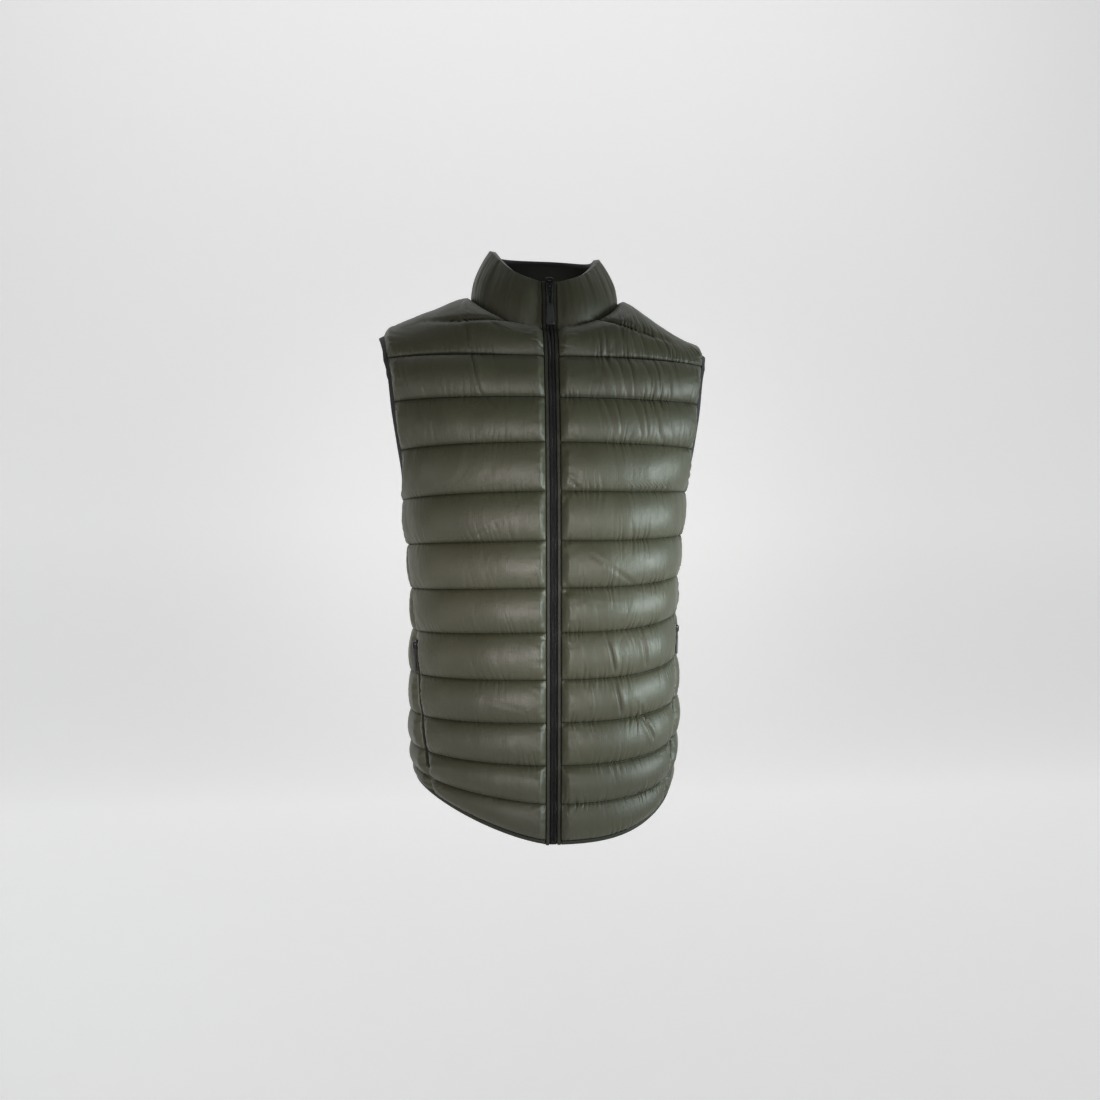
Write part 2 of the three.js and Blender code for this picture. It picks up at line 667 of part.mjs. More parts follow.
function fromManifold(solid) {
  const mesh = solid.getMesh();
  const geometry = new THREE.BufferGeometry();
  geometry.setAttribute('position', new THREE.BufferAttribute(new Float32Array(mesh.vertProperties), 3));
  geometry.setIndex([...mesh.triVerts]);
  return geometry;
}

// A rounded rectangle, optionally narrower at its lower end
function plateShape(width, top, bottom, radius, lowWidth = width) {
  const [a, b] = [width / 2, lowWidth / 2];
  const shape = new THREE.Shape();
  shape.moveTo(-a + radius, top);
  shape.quadraticCurveTo(-a, top, -a, top - radius);
  shape.lineTo(-b, bottom + radius);
  shape.quadraticCurveTo(-b, bottom, -b + radius, bottom);
  shape.lineTo(b - radius, bottom);
  shape.quadraticCurveTo(b, bottom, b, bottom + radius);
  shape.lineTo(a, top - radius);
  shape.quadraticCurveTo(a, top, a - radius, top);
  return shape;
}

function plate(shape, from, thick, bevel = 0) {
  const depth = thick - 2 * bevel;
  const geometry = new THREE.ExtrudeGeometry(shape, {
    depth,
    bevelEnabled: bevel > 0,
    bevelThickness: bevel,
    bevelSize: bevel,
    bevelOffset: -bevel,
    bevelSegments: 1,
    curveSegments: 3,
    steps: 1,
  });
  geometry.translate(0, 0, from + bevel);
  return geometry;
}

function sliderBody({ width, length }) {
  const thick = SLIDER_THICK;
  const { wide: bridge, high: bridgeHigh, long: bridgeLong } = BRIDGE;
  const base = plate(plateShape(width, length / 2, -length / 2, 2.6, width * 0.72), 0, thick, 0.6);
  const arch = new THREE.Shape();
  const [start, end] = [BAR_PLACE - bridgeLong / 2, BAR_PLACE + bridgeLong / 2];
  arch.moveTo(start, thick - 0.8);
  arch.lineTo(end, thick - 0.8);
  arch.lineTo(end, thick + bridgeHigh * 0.5);
  arch.quadraticCurveTo(end, thick + bridgeHigh - 0.6, BAR_PLACE, thick + bridgeHigh - 0.6);
  arch.quadraticCurveTo(start, thick + bridgeHigh - 0.6, start, thick + bridgeHigh * 0.5);
  const window = new THREE.Path();
  const [low, high] = [thick + 0.05, thick + bridgeHigh - 1.8];
  const reach = bridgeLong / 2 - 1.4;
  window.moveTo(BAR_PLACE - reach, low);
  window.lineTo(BAR_PLACE - reach, high);
  window.lineTo(BAR_PLACE + reach, high);
  window.lineTo(BAR_PLACE + reach, low);
  arch.holes.push(window);
  const bridgeForm = { depth: bridge, bevelEnabled: false, curveSegments: 4 };
  const bridgeSolid = new THREE.ExtrudeGeometry(arch, bridgeForm);
  bridgeSolid.translate(0, 0, -bridge / 2);
  bridgeSolid.applyMatrix4(new THREE.Matrix4().makeBasis(vec(0, 1, 0), vec(0, 0, 1), vec(1, 0, 0)));
  return fromManifold(toManifold(base).add(toManifold(bridgeSolid)));
}

// The pull hangs from a bar that passes through the slider's bridge; its own origin is the bar's centre
function pullBody({ width, link, grip: gripLong, gripWidth, thick, gripThick }) {
  const rail = PULL_RAIL;
  const lowWidth = width * 0.86;
  const outline = plateShape(width, rail / 2, -link, 1.6, lowWidth);
  const gap = plateShape(width - 2 * rail, -rail / 2, -link + rail, 0.8, lowWidth - 2 * rail);
  outline.holes.push(new THREE.Path(gap.getPoints(3)));
  const ringPlate = toManifold(plate(outline, -thick / 2, thick));
  const gripShape = plateShape(gripWidth * 0.8, -link + rail, -link - gripLong, 3, gripWidth);
  const handle = toManifold(plate(gripShape, -gripThick / 2, gripThick, 0.8));
  return fromManifold(ringPlate.add(handle));
}

// Where a slider's underside lies, just in front of its chain
function hardwarePlace(place, lift) {
  const up = place.way.clone().negate();
  const across = up.clone().cross(place.out).normalize();
  const holder = new THREE.Group();
  holder.setRotationFromMatrix(new THREE.Matrix4().makeBasis(across, up, place.out));
  holder.position.copy(place.point).addScaledVector(place.out, lift);
  return holder;
}

// The front slider sits near the top of the collar
function frontSliderPlace() {
  const route = zipRoute();
  const [a, b] = [route[0], route[3]];
  const f = (SLIDER_Z - a.point.z) / (b.point.z - a.point.z);
  const way = b.point.clone().sub(a.point).normalize();
  return { point: a.point.clone().lerp(b.point, f), way, out: way.clone().cross(vec(1, 0, 0)) };
}

const group = new THREE.Group();

function part(name, geometry, material, holder = group) {
  const mesh = new THREE.Mesh(geometry, material);
  mesh.name = name;
  holder.add(mesh);
  return mesh;
}

function fastener(place, size, sliderName, pullName, pull) {
  const holder = hardwarePlace(place, size.lift);
  group.add(holder);
  part(sliderName, sliderBody(size), slider, holder);
  const hanging = part(pullName, pullBody(pull), grip, holder);
  hanging.position.set(0, BAR_PLACE, BAR_HEIGHT);
}

const SIDES = [{ name: 'left', turn: -1 }, { name: 'right', turn: 1 }];
SIDES.forEach(({ name, turn }) => {
  part(`front_${name}`, frontPanel(turn), shell);
  part(`armhole_binding_${name}`, armholeBinding(turn), binding);
  part(`zip_welt_${name}`, zipWelt(turn), shell);
  part(`pocket_zip_${name}`, pocketZip(turn), tape);
  const place = seamPlace(turn, POCKET_SLIDER);
  fastener(place, POCKET_SLIDER_SIZE, `pocket_slider_${name}`, `pocket_pull_${name}`, POCKET_PULL);
});
part('back', backPanel(), shell);
part('collar', collar(), shell);
part('hem_binding', hemBinding(), binding);
part('front_zip', frontZip(), tape);
fastener(frontSliderPlace(), FRONT_SLIDER, 'front_slider', 'front_pull', FRONT_PULL);

export default group;
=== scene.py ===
import math

import bmesh
import bpy
import numpy as np
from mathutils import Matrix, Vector


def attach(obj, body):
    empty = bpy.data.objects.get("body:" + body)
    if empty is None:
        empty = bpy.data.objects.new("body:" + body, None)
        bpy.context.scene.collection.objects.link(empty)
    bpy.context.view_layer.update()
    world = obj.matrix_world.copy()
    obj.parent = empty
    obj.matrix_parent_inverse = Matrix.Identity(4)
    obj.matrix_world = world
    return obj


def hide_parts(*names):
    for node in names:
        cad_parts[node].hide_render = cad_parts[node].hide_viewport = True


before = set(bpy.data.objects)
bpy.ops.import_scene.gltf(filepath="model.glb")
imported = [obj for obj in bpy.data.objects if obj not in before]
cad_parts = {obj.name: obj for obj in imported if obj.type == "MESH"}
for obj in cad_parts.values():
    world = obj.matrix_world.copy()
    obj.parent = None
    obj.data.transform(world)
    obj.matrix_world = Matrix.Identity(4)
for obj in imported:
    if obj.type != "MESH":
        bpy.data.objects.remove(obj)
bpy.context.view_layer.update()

MM = 0.001

# Cloth, as in the solids
SEAM_GAP = 0.3
WALL_IN = 1.5
WALL_OUT = 1.5
PUFF = 10.5
COLLAR_PUFF = 8.0
ROUNDNESS = 2.3
EDGE_FADE = 20.0
FINE_FADE = 13.0
ZIP_SIDE_FADE = 1.6
SIDE_PUFF = 0.5
SIDE_FROM = 0.6
SAG = 1.08

# Cross-sections of the body: height, half width, front depth and back depth
BODY = np.array([
    (-690, 158, 124, 116),
    (-635, 164, 127, 119),
    (-580, 171, 129, 120),
    (-490, 172, 130, 118),
    (-430, 170, 130, 114),
    (-380, 172, 130, 112),
    (-320, 177, 129, 114),
    (-265, 183, 127, 118),
    (-240, 187, 125, 120),
    (-200, 200, 121, 121),
    (-150, 214, 112, 119),
    (-90, 225, 99, 109),
], float)
HALF, FRONT, BACK = 1, 2, 3

# Heights of the stitch lines at the front, left, right and back, with the hem last
LINES = np.array([
    (-96, -92, -95, -92),
    (-148, -148, -144, -145),
    (-203, -208, -202, -202),
    (-262, -268, -256, -259),
    (-321, -325, -312, -316),
    (-377, -381, -364, -371),
    (-430, -434, -412, -423),
    (-486, -487, -466, -477),
    (-537, -537, -519, -529),
    (-588, -578, -566, -579),
    (-634, -606, -609, -626),
    (-678, -617, -630, -662),
], float)
HEM = len(LINES) - 1
HEM_LEVEL = HEM - 1e-6
LINE_CURVE_LEFT, LINE_CURVE_RIGHT = 1.2, 3.0

# Side seam: height, left angle and right angle
SIDE_SEAM = np.array([
    (-660, 53, 58),
    (-600, 58, 61),
    (-540, 63, 64),
    (-450, 71, 70),
    (-380, 79, 78),
    (-300, 85, 85),
    (-240, 88, 88),
], float)

# Armholes, neck, shoulders and collar; a dict's keys are -1 for the left and 1 for the right
ARM_BOTTOM = {-1: -262.0, 1: -250.0}
ARM_TOP = -50.0
ARM_HALF_WIDTH = 60.0
ARM_ROUNDNESS = 2.6

NECK_HALF, NECK_FRONT, NECK_BACK = 95.0, 80.0, 66.0
NECK_FRONT_Z, NECK_SIDE_Z, NECK_BACK_Z = -61.0, -6.0, 2.0
NECK_SHARE, NECK_CURVE = 0.44, 1.5
NECK_LIFT, NECK_LIFT_SIDE = 0.45, 0.3
RIDGE_LEAN, RIDGE_LEAN_NECK = 0.45, 0.75
# How far the shoulder's curve is drawn from the chest to the ridge, in x, y and z
SHOULDER_PULL = (0.4, 0.22, 0.84)
SHOULDER_TIP = 209.0
SHOULDER_TIP_Z = {-1: -55.0, 1: -71.0}
RIDGE_RISE = {-1: -1.0, 1: -8.0}
SHOULDER_LINE_X, SHOULDER_LINE_END = 95.0, 152.0
SHOULDER_LINE_Z = {-1: -52.0, 1: -57.0}
SHOULDER_LINE_SLOPE = {-1: 0.0, 1: 0.25}
SHOULDER_LINE_WIDE, RIDGE_WIDE = 6.0, 7.0
YOKE_Z, YOKE_SLOPE = -36.0, 0.14
TOP_HALF, TOP_FRONT, TOP_BACK = 67.0, 70.0, 66.0
TOP_FRONT_Z, TOP_LEFT_Z, TOP_RIGHT_Z, TOP_BACK_Z = 3.0, 61.0, 54.0, 72.0
TOP_CURVE_FRONT, TOP_CURVE_BACK = 1.5, 1.4
COLLAR_ROLL = 0.9

# The strip that holds the front zip, its closed chain and the welts beside it
STRIP_HALF = 9.6
CHAIN_HALF = 4.5
WELT_OUT, WELT_IN, WELT_SLOPE = 2.2, -0.7, 0.8
WELT_WAVE, WELT_WAVE_LONG = 0.22, 14
WELT_STITCH = 1.5
WELT_ENDS = slice(4, -3)
TAPE_BACK, TAPE_FRONT, TAPE_CORE, TAPE_SLOPE = -2.8, -1.6, 0.2, 0.6
TAPE_TUCK = 2.0

# Coils: distance between teeth, then width, lift and height of the front one and of the pockets' ones
COIL_PITCH = 1.5
FRONT_COIL = (2 * CHAIN_HALF - 0.6, 0.9, 2.6)
FRONT_COIL_ENDS = slice(10, -2)
POCKET_COIL = (4.6, 0.7, 1.6)
COIL_ROW, COIL_LEAN, COIL_WIDE, COIL_LONG = 0.25, 0.35, 0.52, 0.72

# Pockets in the side seams: their levels, and their zips' tape and coil
POCKET_TOP, POCKET_BOTTOM, POCKET_TAPER, POCKET_HALF = 6.2, 9.5, 0.2, 4.2
POCKET_TAPE_HALF, POCKET_CORE_HALF, POCKET_TAPE_OUT = 6.5, 3.2, 0.1
POCKET_TAPE_LEVELS = (POCKET_TOP - 0.05, POCKET_BOTTOM + 0.12, 70)
POCKET_COIL_LEVELS = (POCKET_TOP + 0.3, POCKET_BOTTOM - 0.08, 60)

# Bindings, and the rounding of the strips' corners
BINDING_WIDTH = 8.0
HEM_WIDTH = 5.0
TRIM_IN, TRIM_OUT = 2.2, 2.7
BINDING_ROUND, HEM_ROUND, WELT_ROUND = 1.3, 1.2, 0.6
TRIM_SPACING, ZIP_SPACING = 3.0, 2.0

# Thread: distance between stitches, length and thickness
STITCH_PITCH, STITCH_LONG, STITCH_THICK = 3.1, 2.3, 0.55

# Columns of a half panel and rows of a channel and of the shoulder band; INNER_STEPS thins them for the inner skins
FRONT_COLUMNS, FRONT_ROWS = 250, 20
BACK_COLUMNS, BACK_ROWS = 175, 18
BAND_ROWS = 40
COLLAR_COLUMNS, COLLAR_ROWS = 120, 48
INNER_STEPS = {"front": (10, 10), "back": (6, 7), "collar": (8, 8)}
# How much closer together rows are beside a stitch line, 0 to 1
ROWS_CLOSER, COLLAR_ROWS_CLOSER = 0.45, 0.6

# Rows of a channel and of the band along the armholes and the zip, steps of the hem and of the zip's collar part
ARMHOLE_ROWS, ZIP_ROWS = (24, 60), (8, 16)
HEM_STEPS = 90
COLLAR_ZIP = (1, 0.06, 24)
ARMHOLE_BELOW = 6
ZIP_SMOOTHING = 5

# Height of a channel, of the shoulder band and of its upper half, and the padding's form between two lines
CHANNEL_HIGH, BAND_HIGH, RIDGE_HIGH, COLLAR_HIGH = 54, 80, 85, 62
CHANNEL_ROUND, BAND_SHARE, LAST_SHARE = 0.52, 0.8, 0.75
LINE_FADE_FROM, LINE_END_AWAY, LINE_DIP, LINE_DIP_ROUND = 20, 8, 0.55, 0.6
EDGE_SHARE, COLLAR_EDGE_SHARE = 0.2, 0.15

# Long creases of the fronts: side, ends in x and z, width and depth
CREASES = [
    (-1, (-98, -30), (-100, -84), 4.0, 1.2),
    (-1, (-98, -84), (-86, -142), 4.0, 1.5),
    (-1, (-88, -142), (-66, -163), 3.5, 1.2),
    (-1, (-60, -300), (-96, -318), 4.0, 1.0),
    (-1, (-34, -520), (-80, -508), 4.0, 0.6),
    (1, (61, -430), (71, -478), 4.0, 2.2),
    (1, (103, -423), (109, -470), 4.0, 1.8),
    (1, (71, -484), (78, -526), 4.0, 2.2),
    (1, (103, -522), (118, -562), 4.0, 2.0),
    (1, (43, -338), (103, -378), 4.5, 0.9),
    (1, (12, -246), (32, -260), 4.0, 1.6),
    (1, (40, -395), (86, -402), 4.0, 0.6),
]

# Waves of a crest: depth and length of the long and of the short ones, on the body and on the collar
CREST_LONG, CREST_SHORT = (0.8, 110), (0.25, 47)
COLLAR_LONG, COLLAR_SHORT = (0.9, 61), (0.5, 23)

# Puckers at a stitch line: depth, distance between two, sharpness, and the height that stays in place
LONG_PUCKER, SHORT_PUCKER = (4.6, 8.5, 2.4, 0.8), (2.4, 4.1, 2, 0.75)
LONG_PUCKER_REACH, SHORT_PUCKER_REACH, UNDER_LINE = 7.5, 3.8, 0.55
# Gathers beside the zip and the side seam, and up the collar, in the same columns
LONG_GATHER, SHORT_GATHER = (3.0, 12, 2.2, 0.75), (1.6, 5.2, 2, 0.75)
LONG_COLLAR_GATHER, SHORT_COLLAR_GATHER = (0.9, 11.5, 1.6, 0.75), (0.5, 5.6, 1.6, 0.7)
GATHER_REACH, GATHER_PITCH, GATHER_FADE, LEVEL_FADE = 14, 15, 18, 0.4
CREASE_VALLEY, CREASE_LIP, LIP_SHARE = 0.36, 0.7, 0.45

# Strength of the puckers along the stitch lines of each front and of the back
PUCKER = {(-1, -1): 0.45, (-1, 1): 1.1, (1, 1): 0.7}

# Stretches of a front where gathers cross whole channels: side, range in x, range in level, depth
GATHERS = [
    (1, (42, 165), (-0.6, 2.0), 1.5),
    (-1, (120, 190), (0.0, 2.4), 0.8),
    (1, (12, 60), (5.0, 9.0), 0.7),
]

# Shell cloth: its olive; a groove's colour and gloss, painted shade that darkens the cloth and dims its highlight
# beside each stitch line; and how wide that painted shade is
OLIVE, OLIVE_DEEP, OLIVE_PALE = (0.040, 0.040, 0.021), (0.035, 0.035, 0.018), (0.046, 0.046, 0.025)
PAINTED_SHADE_OLIVE = (0.008, 0.009, 0.004, 1)
PAINTED_SHADE_WIDE = 1.15
SHELL_SPECULAR, PAINTED_SHADE_SPECULAR = 0.62, 0.06

# The other materials: name, colour, roughness, metal, sheen, spots of colour (scale, detail, low, high),
# uneven gloss (scale, low, high), threads a metre or grain, and the depth and strength of that bump
TRIMS = [
    ("lining_nylon", (0.02, 0.022, 0.017), 0.5, 0, 0.1, (14, 3, (0.016, 0.018, 0.014), (0.026, 0.028, 0.021)),
     None, 2600, None, 0.0001, 0.3),
    ("trim_olive", (0.016, 0.017, 0.009), 0.65, 0, 0, (120, 3, (0.013, 0.014, 0.007), (0.019, 0.020, 0.011)),
     None, 2000, None, 0.0002, 0.4),
    ("binding_elastic", (0.009, 0.009, 0.012), 0.75, 0, 0.05, (700, 2, (0.005, 0.005, 0.007), (0.012, 0.012, 0.016)),
     None, 1400, None, 0.0003, 0.5),
    ("zip_tape_woven", (0.006, 0.006, 0.008), 0.8, 0, 0, (500, 2, (0.004, 0.004, 0.006), (0.008, 0.008, 0.011)),
     None, 1800, None, 0.0003, 0.5),
    ("zip_coil_nylon", (0.007, 0.007, 0.009), 0.5, 0, 0, None,
     (300, 0.4, 0.55), None, 900, 0.0001, 0.3),
    ("slider_black", (0.02, 0.02, 0.022), 0.32, 0.6, 0, (90, 3, (0.014, 0.014, 0.016), (0.03, 0.03, 0.032)),
     (240, 0.26, 0.42), None, 1200, 0.00008, 0.3),
    ("pull_moulded", (0.022, 0.022, 0.024), 0.5, 0, 0, (120, 3, (0.016, 0.016, 0.018), (0.028, 0.028, 0.03)),
     (200, 0.42, 0.58), None, 1500, 0.0001, 0.4),
    # Dark olive thread, darkened further so that the stitch lines also carry painted shade
    ("thread_olive_and_shade", (0.010, 0.011, 0.006), 0.85, 0, 0, (400, 3, (0.007, 0.008, 0.004), (0.013, 0.014, 0.008)),
     None, None, 2500, 0.0001, 0.4),
]

# Lights in metres and watts: name, place, target, size, power, colour and spread in degrees
VEST_LOW = (0.02, 0.0, -0.38)
LIGHTS = [
    ("key", (1.5, -0.66, -0.34), VEST_LOW, (0.8, 0.4), 2.15, (0.86, 1.0, 0.98), 40),
    ("front", (-0.1, -1.5, -0.43), VEST_LOW, (1.2, 0.25), 1.5, (1.0, 0.94, 0.90), 34),
    ("fill", (-1.6, -0.7, -0.4), VEST_LOW, (0.7, 1.0), 0.9, (1.0, 0.96, 0.90), 90),
    ("wall_wash", (0.0, 0.8, 2.9), (0.0, 2.6, -0.6), (5.0, 1.2), 34, (1.0, 1.0, 1.0), 180),
]
WORLD_COLOUR, WORLD_STRENGTH = (0.9, 0.92, 0.95, 1), 0.08

# Backdrop in metres: a floor and a wall, joined by an arc
FLOOR_Z, WALL_Y, WALL_TOP = -1.15, 2.6, 4.5
ARC_RADIUS, ARC_STEPS = 0.9, 12
BACKDROP_HALF = 6.0
BACKDROP_GLOW = 0.4

# Camera: level, a little to the left of the vest's front and opposite its waist; the photo's frame in pixels
CAMERA_DISTANCE = 1.185
CAMERA_TURN = math.radians(5.5)
CAMERA_HEIGHT = -0.326
AIM_ASIDE = 0.008
FRAME_PIXELS, FOCAL_PIXELS, SHIFT_PIXELS = 1100, 890, -5
VIEW_ANGLE = 2 * math.atan(FRAME_PIXELS / 2 / FOCAL_PIXELS)

SIDES = (("left", -1), ("right", 1))


def mix(a, b, f):
    return a + (b - a) * f


def smooth(v):
    v = np.clip(v, 0, 1)
    return v * v * (3 - 2 * v)


def power(v, p):
    return np.sign(v) * np.abs(v) ** p


def unit(v):
    return v / np.linalg.norm(v, axis=-1, keepdims=True)


def lookup(table, column, z):
    """A value from a table whose rows rise in their first column, by a smooth curve through them."""
    z = np.asarray(z, float)
    places, values = table[:, 0], table[:, column]
    slopes = np.empty(len(table))
    slopes[1:-1] = (values[2:] - values[:-2]) / (places[2:] - places[:-2])
    slopes[0] = (values[1] - values[0]) / (places[1] - places[0])
    slopes[-1] = (values[-1] - values[-2]) / (places[-1] - places[-2])
    i = np.clip(np.searchsorted(places, z) - 1, 0, len(table) - 2)
    width = places[i + 1] - places[i]
    f = np.clip((z - places[i]) / width, 0, 1)
    g = 1 - f
    return (g * g * (1 + 2 * f) * values[i] + f * f * (3 - 2 * f) * values[i + 1]
            + width * f * g * (g * slopes[i] - f * slopes[i + 1]))


def ring(angle, half, front, back):
    c = np.cos(angle)
    x = half * power(np.sin(angle), 2 / ROUNDNESS)
    y = -np.where(c > 0, front, back) * power(c, 2 / ROUNDNESS)
    return x, y


def body_point(angle, z):
    angle, z = np.broadcast_arrays(np.asarray(angle, float), np.asarray(z, float))
    x, y = ring(angle, lookup(BODY, HALF, z), lookup(BODY, FRONT, z), lookup(BODY, BACK, z))
    return np.stack([x, y, z], -1)


def body_normal(angle, z):
    around = body_point(angle + 0.01, z) - body_point(angle - 0.01, z)
    up = body_point(angle, z + 3) - body_point(angle, z - 3)
    return unit(np.cross(around, up))


def level_z(level, angle):
    level, angle = np.broadcast_arrays(np.asarray(level, float), np.asarray(angle, float))
    k = np.clip(np.floor(level).astype(int), 0, HEM - 1)
    share = np.abs(np.sin(angle)) ** np.where(np.sin(angle) < 0, LINE_CURVE_LEFT, LINE_CURVE_RIGHT)

    def line(row):
        plain = np.where(np.cos(angle) > 0, LINES[row, 0], LINES[row, 3])
        side = np.where(np.sin(angle) < 0, LINES[row, 1], LINES[row, 2])
        return mix(plain, side, share)

    return mix(line(k), line(k + 1), level - k)


def pocket_opening(level):
    top = smooth((level - POCKET_TOP) / POCKET_TAPER + 1)
    bottom = smooth((POCKET_BOTTOM - level) / POCKET_TAPER + 1)
    return POCKET_HALF * top * bottom


def seam_angle(turn, level):
    z = level_z(level, turn * math.pi / 2)
    return turn * np.radians(lookup(SIDE_SEAM, 1 if turn < 0 else 2, z))


def edge_angle(turn, facing, level):
    """Angle of a panel's outer edge: the armhole above and the side seam below."""
    level = np.asarray(level, float)
    z = level_z(level, turn * math.pi / 2)
    middle = (ARM_TOP + ARM_BOTTOM[turn]) / 2
    q = np.clip(np.abs(z - middle) / (ARM_TOP - middle), 0, 1)
    reach = ARM_HALF_WIDTH * (1 - q ** ARM_ROUNDNESS) ** (1 / ARM_ROUNDNESS)
    depth = lookup(BODY, FRONT if facing < 0 else BACK, z)
    arm = turn * (math.pi / 2 + facing * np.arcsin((reach / depth) ** (ROUNDNESS / 2)))
    centre = seam_angle(turn, level)
    speed = np.linalg.norm(body_point(centre + 0.01, z) - body_point(centre - 0.01, z), axis=-1) / 0.02
    seam = centre + turn * facing * (SEAM_GAP / 2 + pocket_opening(level)) / speed
    return np.where(z > ARM_BOTTOM[turn], arm, seam)


def neck_point(angle):
    x, y = ring(angle, NECK_HALF, NECK_FRONT, NECK_BACK)
    c = np.cos(angle)
    z = mix(NECK_SIDE_Z, np.where(c > 0, NECK_FRONT_Z, NECK_BACK_Z), np.abs(c) ** NECK_CURVE)
    return np.stack([x, y, z], -1)


def neck_normal(angle):
    lift = NECK_LIFT + NECK_LIFT_SIDE * np.sin(angle) ** 2
    return unit(np.stack([np.sin(angle), -np.cos(angle), lift], -1))


def collar_top(angle):
    x, y = ring(angle, TOP_HALF, TOP_FRONT, TOP_BACK)
    c = np.cos(angle)
    share = np.abs(c) ** np.where(c > 0, TOP_CURVE_FRONT, TOP_CURVE_BACK)
    z = mix(np.where(x < 0, TOP_LEFT_Z, TOP_RIGHT_Z), np.where(c > 0, TOP_FRONT_Z, TOP_BACK_Z), share)
    return np.stack([x, y, z], -1)


def ridge_point(turn, along):
    x = turn * mix(NECK_HALF, SHOULDER_TIP, along)
    z = mix(NECK_SIDE_Z, SHOULDER_TIP_Z[turn], along) + RIDGE_RISE[turn] * np.sin(math.pi * along)
    return np.stack([x, 0 * x, z], -1)


def ridge_normal(turn, along):
    lean = mix(RIDGE_LEAN, RIDGE_LEAN_NECK, np.exp(-along * 6))
    return unit(np.stack([turn * lean, 0 * lean, 1 - lean * lean * 0.6], -1))


def angle_at(x, half):
    return np.arcsin((x / half) ** (ROUNDNESS / 2))


def panel_surface(facing, turn, across, band, level):
    """Points of a panel's seam surface and the ways out of the cloth, for arrays of one shape."""
    across, band, level = np.broadcast_arrays(across, band, level)
    back = facing > 0
    edge = edge_angle(turn, facing, level)
    z0 = level_z(level, math.pi if back else 0.0)
    start = turn * (math.pi if back else angle_at(STRIP_HALF, lookup(BODY, HALF, z0)))
    angle = mix(start, edge, across)
    z = level_z(level, angle)
    low, low_normal = body_point(angle, z), body_normal(angle, z)
    first = math.pi if back else angle_at(STRIP_HALF, NECK_HALF)
    neck = turn * mix(first, math.pi / 2, np.clip(across / NECK_SHARE, 0, 1))
    along = np.clip((across - NECK_SHARE) / (1 - NECK_SHARE), 0, 1)
    ridge = ridge_point(turn, along)
    ridge[..., 1] = facing * SEAM_GAP / 2
    at_neck = (across < NECK_SHARE)[..., None]
    high = np.where(at_neck, neck_point(neck), ridge)
    high_normal = np.where(at_neck, neck_normal(neck), ridge_normal(turn, along))
    control = np.stack([mix(low[..., k], high[..., k], share) for k, share in enumerate(SHOULDER_PULL)], -1)
    f = band[..., None]
    point = low * (1 - f) ** 2 + control * 2 * f * (1 - f) + high * f * f
    return point, unit(mix(low_normal, high_normal, smooth(f)))


def ripple(x, wave, seed):
    """Smooth uneven wave between about -1 and 1, the same in every run."""
    x = np.asarray(x, float) / wave * 2 * math.pi
    a, b, c = (math.sin(seed * k) * 9.7 for k in (12.9898, 78.233, 37.719))
    return 0.5 * np.sin(x + a) + 0.3 * np.sin(1.73 * x + b) + 0.2 * np.sin(2.91 * x + c)


def pinch(phase, sharp=1.6):
    """Rounded ridges with narrow valleys between them, from 0 in a valley to 1 on a ridge."""
    return np.abs(np.sin(math.pi * phase)) ** (1 / sharp)


def folds(place, kind):
    """Small folds in a row: their form along a line, without their depth."""
    _, apart, sharp, still = kind
    return pinch(place / apart, sharp) - still


def channel_profile(point, band, level):
    """Height of the padding, 0 on a stitch line and 1 on a crest, and the distance to the next line."""
    down = (level % 1) ** SAG
    body = np.sin(math.pi * np.clip(down, 0, 1)) ** CHANNEL_ROUND * np.where(level >= HEM - 1, LAST_SHARE, 1)
    to_line = np.minimum(level % 1, 1 - level % 1) * CHANNEL_HIGH
    x = point[..., 0]
    line_z = np.where(x < 0, SHOULDER_LINE_Z[-1], SHOULDER_LINE_Z[1])
    slope = np.where(x < 0, SHOULDER_LINE_SLOPE[-1], SHOULDER_LINE_SLOPE[1])
    away = np.abs(point[..., 2] - line_z + slope * (np.abs(x) - SHOULDER_LINE_X))
    dip = 1 - smooth((np.abs(x) - SHOULDER_LINE_X - LINE_FADE_FROM) / (SHOULDER_LINE_END - SHOULDER_LINE_X))
    behind = point[..., 1] > 0
    away = np.where(behind, np.abs(point[..., 2] - YOKE_Z + YOKE_SLOPE * np.abs(x)), away)
    dip = np.where(behind, 1, dip)
    ends = np.minimum(np.sin(math.pi * np.clip(band, 0, 0.5)), smooth((1 - band) * RIDGE_HIGH / RIDGE_WIDE))
    in_line = mix(LINE_DIP, 1, smooth(away / SHOULDER_LINE_WIDE) ** LINE_DIP_ROUND)
    over = BAND_SHARE * ends ** CHANNEL_ROUND * mix(1, in_line, dip)
    band_line = np.minimum(np.minimum(band, 1 - band) * BAND_HIGH, away + LINE_END_AWAY * (1 - dip))
    in_band = band > 0
    return np.where(in_band, over, body), np.where(in_band, band_line, to_line)


def walk_across(point):
    """How far each point of a grid is from the start of its row, along the row."""
    steps = np.linalg.norm(np.diff(point, axis=1), axis=-1)
    return np.concatenate([np.zeros((len(point), 1)), np.cumsum(steps, axis=1)], 1)


def segment_distance(x, z, a, b):
    way = np.subtract(b, a)
    f = np.clip(((x - a[0]) * way[0] + (z - a[1]) * way[1]) / (way @ way), 0, 1)
    return np.hypot(x - a[0] - f * way[0], z - a[1] - f * way[1]), f


